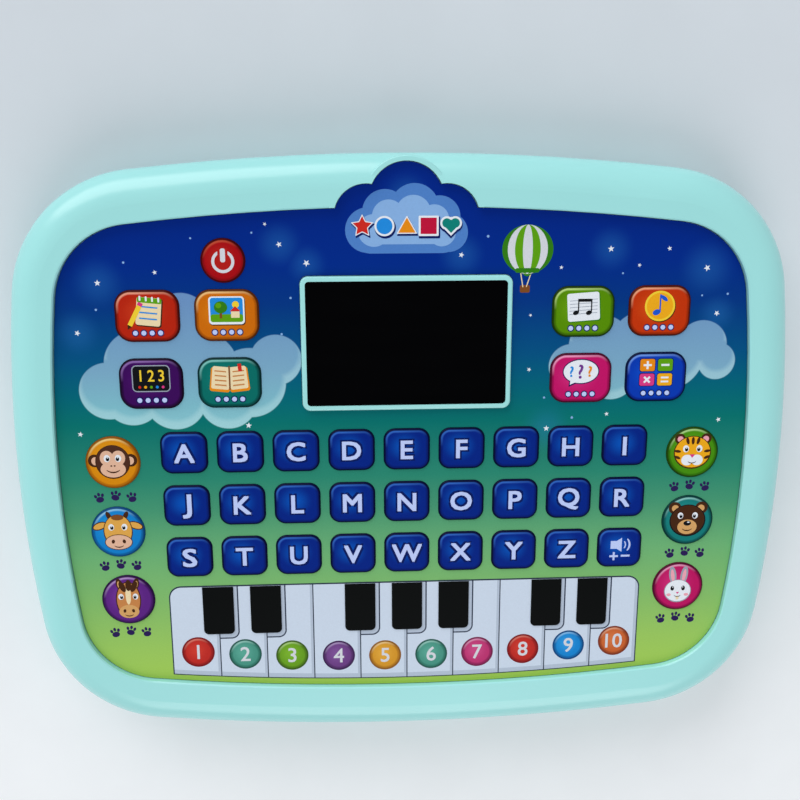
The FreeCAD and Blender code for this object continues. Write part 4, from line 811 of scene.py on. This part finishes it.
# Screen window: a smoked acrylic pane that drops into the rim and is bonded to its ledge.
# It is polished on both faces and dark enough to hide the lights behind it while they are off.
def smoked_acrylic():
    """Near-black polished acrylic with the faintest wipe marks; from above it mirrors next to nothing."""
    material, tree = blank_material("smoked_acrylic")
    place = add_node(tree, "TexCoord")["Object"]
    stretched = add_node(tree, "Mapping", {"Vector": place, "Scale": (1, 6, 1)})[0]
    wipes = add_node(tree, "TexNoise", {"Vector": stretched, "Scale": 1 / (30 * mm), "Detail": 4.0})[0]
    rough = add_node(tree, "MapRange", {0: wipes, 3: 0.05, 4: 0.12})[0]
    tone = add_node(tree, "Mix", {0: wipes, 6: linear("#010102"), 7: linear("#030304")}, data_type="RGBA")[2]
    surface = add_node(tree, "BsdfPrincipled", {
        "Base Color": tone, "Roughness": rough, "IOR": 1.49, "Specular IOR Level": 0.015,
    })[0]
    add_node(tree, "OutputMaterial", {"Surface": surface})
    return material


dress("screen_window", smoked_acrylic())

# Display module and main board: the electronics, hung on posts under the deck.
# A green glass-epoxy board carries a light matrix with a black moulded reflector.
def board_laminate():
    """Green solder mask over copper: tracks show as a net of paler lines, 2.5 by 1.25 mm."""
    material, tree = blank_material("solder_masked_board")
    place = add_node(tree, "TexCoord")["Object"]
    lines = add_node(tree, "TexBrick", {
        "Vector": place, "Scale": 1 / (5 * mm), "Mortar Size": 0.06, "Color1": linear("#12613A"),
        "Color2": linear("#166B41"), "Mortar": linear("#3E9A62"),
    })[0]
    speckle = add_node(tree, "TexNoise", {"Vector": place, "Scale": 1 / (1.5 * mm)})[0]
    rough = add_node(tree, "MapRange", {0: speckle, 3: 0.3, 4: 0.45})[0]
    surface = add_node(tree, "BsdfPrincipled", {"Base Color": lines, "Roughness": rough, "IOR": 1.55})[0]
    add_node(tree, "OutputMaterial", {"Surface": surface})
    return material


dress("main_board", board_laminate())
black_plastic = moulded_plastic("black_abs", "#1C1D20", "#141517", 0.45, 0.8, 0.01)
dress("display_module", black_plastic)

# Speaker and leads: a small black speaker seated in a ring of the back, with thin stranded wires.
# The wires have soft PVC sleeves and are soldered to the speaker, the battery tabs and two sockets.
def pvc_sleeve():
    """Soft PVC: a dull red skin with slight marks."""
    material, tree = blank_material("pvc_wire_sleeve")
    place = add_node(tree, "TexCoord")["Object"]
    marks = add_node(tree, "TexNoise", {"Vector": place, "Scale": 1 / (2 * mm), "Detail": 2.0})[0]
    tone = add_node(tree, "Mix", {0: marks, 6: linear("#A81C18"), 7: linear("#C02A22")}, data_type="RGBA")[2]
    rough = add_node(tree, "MapRange", {0: marks, 3: 0.4, 4: 0.55})[0]
    surface = add_node(tree, "BsdfPrincipled", {"Base Color": tone, "Roughness": rough, "IOR": 1.53})[0]
    add_node(tree, "OutputMaterial", {"Surface": surface})
    return material


wire_sleeve = pvc_sleeve()
dress("speaker", black_plastic)
for leads in ("battery_leads", "speaker_leads"):
    dress(leads, wire_sleeve)

# Rear housing and battery door: the back of the toy, moulded in the same mint ABS as the front.
# Their mould is spark-eroded, so they have a fine matt grain that hides scratches.
mint_grain = moulded_plastic("mint_abs_grained", "#9FE0DE", "#98D9D7", 0.48, 0.7, 0.03)
for node in ("rear_housing", "battery_door"):
    dress(node, mint_grain)

# Battery contacts and cells: pressed leaf springs and plates, and three AA cells laid head to tail.
# The contacts are nickel-plated strip; the cells have a printed wrap over a steel can.
def plated_steel(name, code, grain_size, low, high):
    """Plated steel: bright metal with fine drawn lines that break up its shine."""
    material, tree = blank_material(name)
    place = add_node(tree, "TexCoord")["Object"]
    drawn = add_node(tree, "Mapping", {"Vector": place, "Scale": (1, 8, 1)})[0]
    lines = add_node(tree, "TexNoise", {"Vector": drawn, "Scale": 1 / (grain_size * mm), "Detail": 3.0})[0]
    rough = add_node(tree, "MapRange", {0: lines, 3: low, 4: high})[0]
    tone = add_node(tree, "MapRange", {0: lines, 3: 0.9, 4: 1.0})[0]
    colour = add_node(tree, "VectorMath", {0: linear(code)[:3], 3: tone}, operation="SCALE")[0]
    surface = add_node(tree, "BsdfPrincipled", {"Base Color": colour, "Roughness": rough, "Metallic": 1.0})[0]
    add_node(tree, "OutputMaterial", {"Surface": surface})
    return material


wrap_middle = 2.95
wrap_half = 24.3
band_start = 21.0
cell_radius = 7.25


def cell_wrap():
    """Printed wrap: plain grey with a pale band at the nub's end, and bare steel on the end faces."""
    material, tree = blank_material("printed_cell_wrap")
    place = add_node(tree, "TexCoord")["Object"]
    local = add_node(tree, "Mapping", {"Vector": place, "Scale": (1000, 1000, 1000)})[0]
    along, across, _ = add_node(tree, "SeparateXYZ", {0: local})
    # The middle cell lies the other way round, so it is read from its other end.
    low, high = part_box("battery_cells")
    middle_y = (low[1] + high[1]) / 2 / mm
    turned = add_node(tree, "Math", {0: across, 1: middle_y, 2: cell_radius + 0.2}, operation="COMPARE")[0]
    way = add_node(tree, "MapRange", {0: turned, 3: 1.0, 4: -1.0})[0]
    along = add_node(tree, "Math", {0: along, 1: way}, operation="MULTIPLY")[0]
    scuffs = add_node(tree, "TexNoise", {"Vector": local, "Scale": 0.4, "Detail": 3.0})[0]
    band = add_node(tree, "Math", {0: along, 1: band_start}, operation="GREATER_THAN")[0]
    tone = add_node(tree, "Mix", {0: band, 6: linear("#5C6670"), 7: linear("#D5D8DA")}, data_type="RGBA")[2]
    worn = add_node(tree, "MapRange", {0: scuffs, 4: 0.4})[0]
    tone = add_node(tree, "Mix", {0: worn, 6: tone, 7: linear("#7C848C")}, data_type="RGBA")[2]
    wrapped = add_node(tree, "Math", {0: along, 1: wrap_middle, 2: wrap_half}, operation="COMPARE")[0]
    tone = add_node(tree, "Mix", {0: wrapped, 6: linear("#C9C6BE"), 7: tone}, data_type="RGBA")[2]
    bare = add_node(tree, "Math", {0: 1.0, 1: wrapped}, operation="SUBTRACT")[0]
    rough = add_node(tree, "MapRange", {0: scuffs, 3: 0.25, 4: 0.4})[0]
    surface = add_node(tree, "BsdfPrincipled", {
        "Base Color": tone, "Roughness": rough, "Metallic": bare, "IOR": 1.5,
    })[0]
    add_node(tree, "OutputMaterial", {"Surface": surface})
    return material


spring_steel = plated_steel("nickel_plated_strip", "#C9C6BE", 1.5, 0.22, 0.36)
for contact in ("battery_springs", "battery_plates"):
    dress(contact, spring_steel)
dress("battery_cells", cell_wrap())

# Screws: eight join the halves from behind, four hold the board and one keeps the door shut.
# They are zinc-plated steel with cross slots, driven into moulded bosses.
zinc_steel = plated_steel("zinc_plated_screw", "#B9BCC0", 0.8, 0.25, 0.42)
for fastener in ("housing_screws", "board_screws", "door_screw"):
    dress(fastener, zinc_steel)

# Studio: a pale floor under the toy, a soft lamp on each long side and even light all round.
# The camera looks down on the face from a little above its top edge, as in the photograph.
def floor_paper():
    """Matt, faintly mottled pale paper, with painted shade behind the toy and painted light in front of it.
    """
    material, tree = blank_material("pale_floor_paper")
    place = add_node(tree, "TexCoord")["Object"]
    mottle = add_node(tree, "TexNoise", {"Vector": place, "Scale": 1 / (25 * mm), "Detail": 3.0})[0]
    y = add_node(tree, "SeparateXYZ", {0: place})[1]
    # Painted shade and light: near the toy the floor turns greyer behind it and paler in front of it.
    behind = add_node(tree, "MapRange", {0: y, 1: -0.15, 2: 0.13, 3: -0.5, 4: 0.5},
                      interpolation_type="SMOOTHSTEP")[0]
    away = add_node(tree, "VectorMath", {0: place}, operation="LENGTH")[1]
    near = add_node(tree, "MapRange", {0: away, 1: 0.35, 2: 1.5, 3: 1.0, 4: 0.0},
                    interpolation_type="SMOOTHSTEP")[0]
    grey = add_node(tree, "Math", {0: behind, 1: near, 2: 0.5}, operation="MULTIPLY_ADD")[0]
    tone = add_node(tree, "Mix", {0: grey, 6: linear("#F3F5F7"), 7: linear("#D2D8DE")}, data_type="RGBA")[2]
    dots = add_node(tree, "MapRange", {0: mottle, 3: 0.97, 4: 1.03})[0]
    tone = add_node(tree, "VectorMath", {0: tone, 3: dots}, operation="SCALE")[0]
    surface = add_node(tree, "BsdfPrincipled", {
        "Base Color": tone, "Roughness": 0.8, "Specular IOR Level": 0.1,
    })[0]
    add_node(tree, "OutputMaterial", {"Surface": surface})
    return material


bpy.ops.object.select_all(action="DESELECT")
bpy.ops.mesh.primitive_plane_add(size=40.0, location=(0, 0, -0.05 * mm))
floor = bpy.context.object
floor.name = "studio_floor"
floor.data.materials.append(floor_paper())

world = bpy.data.worlds.new("even_room_light")
bpy.context.scene.world = world
world.use_nodes = True
world.node_tree.nodes.clear()
room = add_node(world.node_tree, "Background", {"Color": linear("#F2F5F8"), "Strength": 0.63})[0]
backdrop = add_node(world.node_tree, "Background", {"Color": linear("#E6EAEE"), "Strength": 1.0})[0]
rays = add_node(world.node_tree, "LightPath")
seen = 0.0
for kind in ("Is Camera Ray", "Is Glossy Ray", "Is Transmission Ray"):
    seen = add_node(world.node_tree, "Math", {0: rays[kind], 1: seen}, operation="MAXIMUM")[0]
light = add_node(world.node_tree, "MixShader", {0: seen, 1: room, 2: backdrop})[0]
add_node(world.node_tree, "OutputWorld", {"Surface": light})

lamps = {"front_lamp": ((0.05, -0.76, 0.64), 40, 0.93), "back_lamp": ((-0.43, 0.88, 0.22), 60, 2.5)}
for name, (place, spread, power) in lamps.items():
    bpy.ops.object.light_add(type="SUN", location=place)
    lamp = bpy.context.object
    lamp.name = name
    lamp.data.angle = math.radians(spread)
    lamp.data.energy = power
    lamp.rotation_euler = Vector(place).to_track_quat("Z", "Y").to_euler()

camera_place = (-17.84, 93.25, 324.0)
camera_turn = (-13.67, -3.03, -0.14)
bpy.ops.object.camera_add(location=[value * mm for value in camera_place],
                          rotation=[math.radians(value) for value in camera_turn])
camera = bpy.context.object
camera.name = "photo_camera"
camera.data.sensor_width = 36.0
camera.data.lens = 45.0
camera.data.clip_start = 0.01
camera.data.dof.use_dof = False
scene = bpy.context.scene
scene.camera = camera
scene.view_settings.view_transform = "Standard"
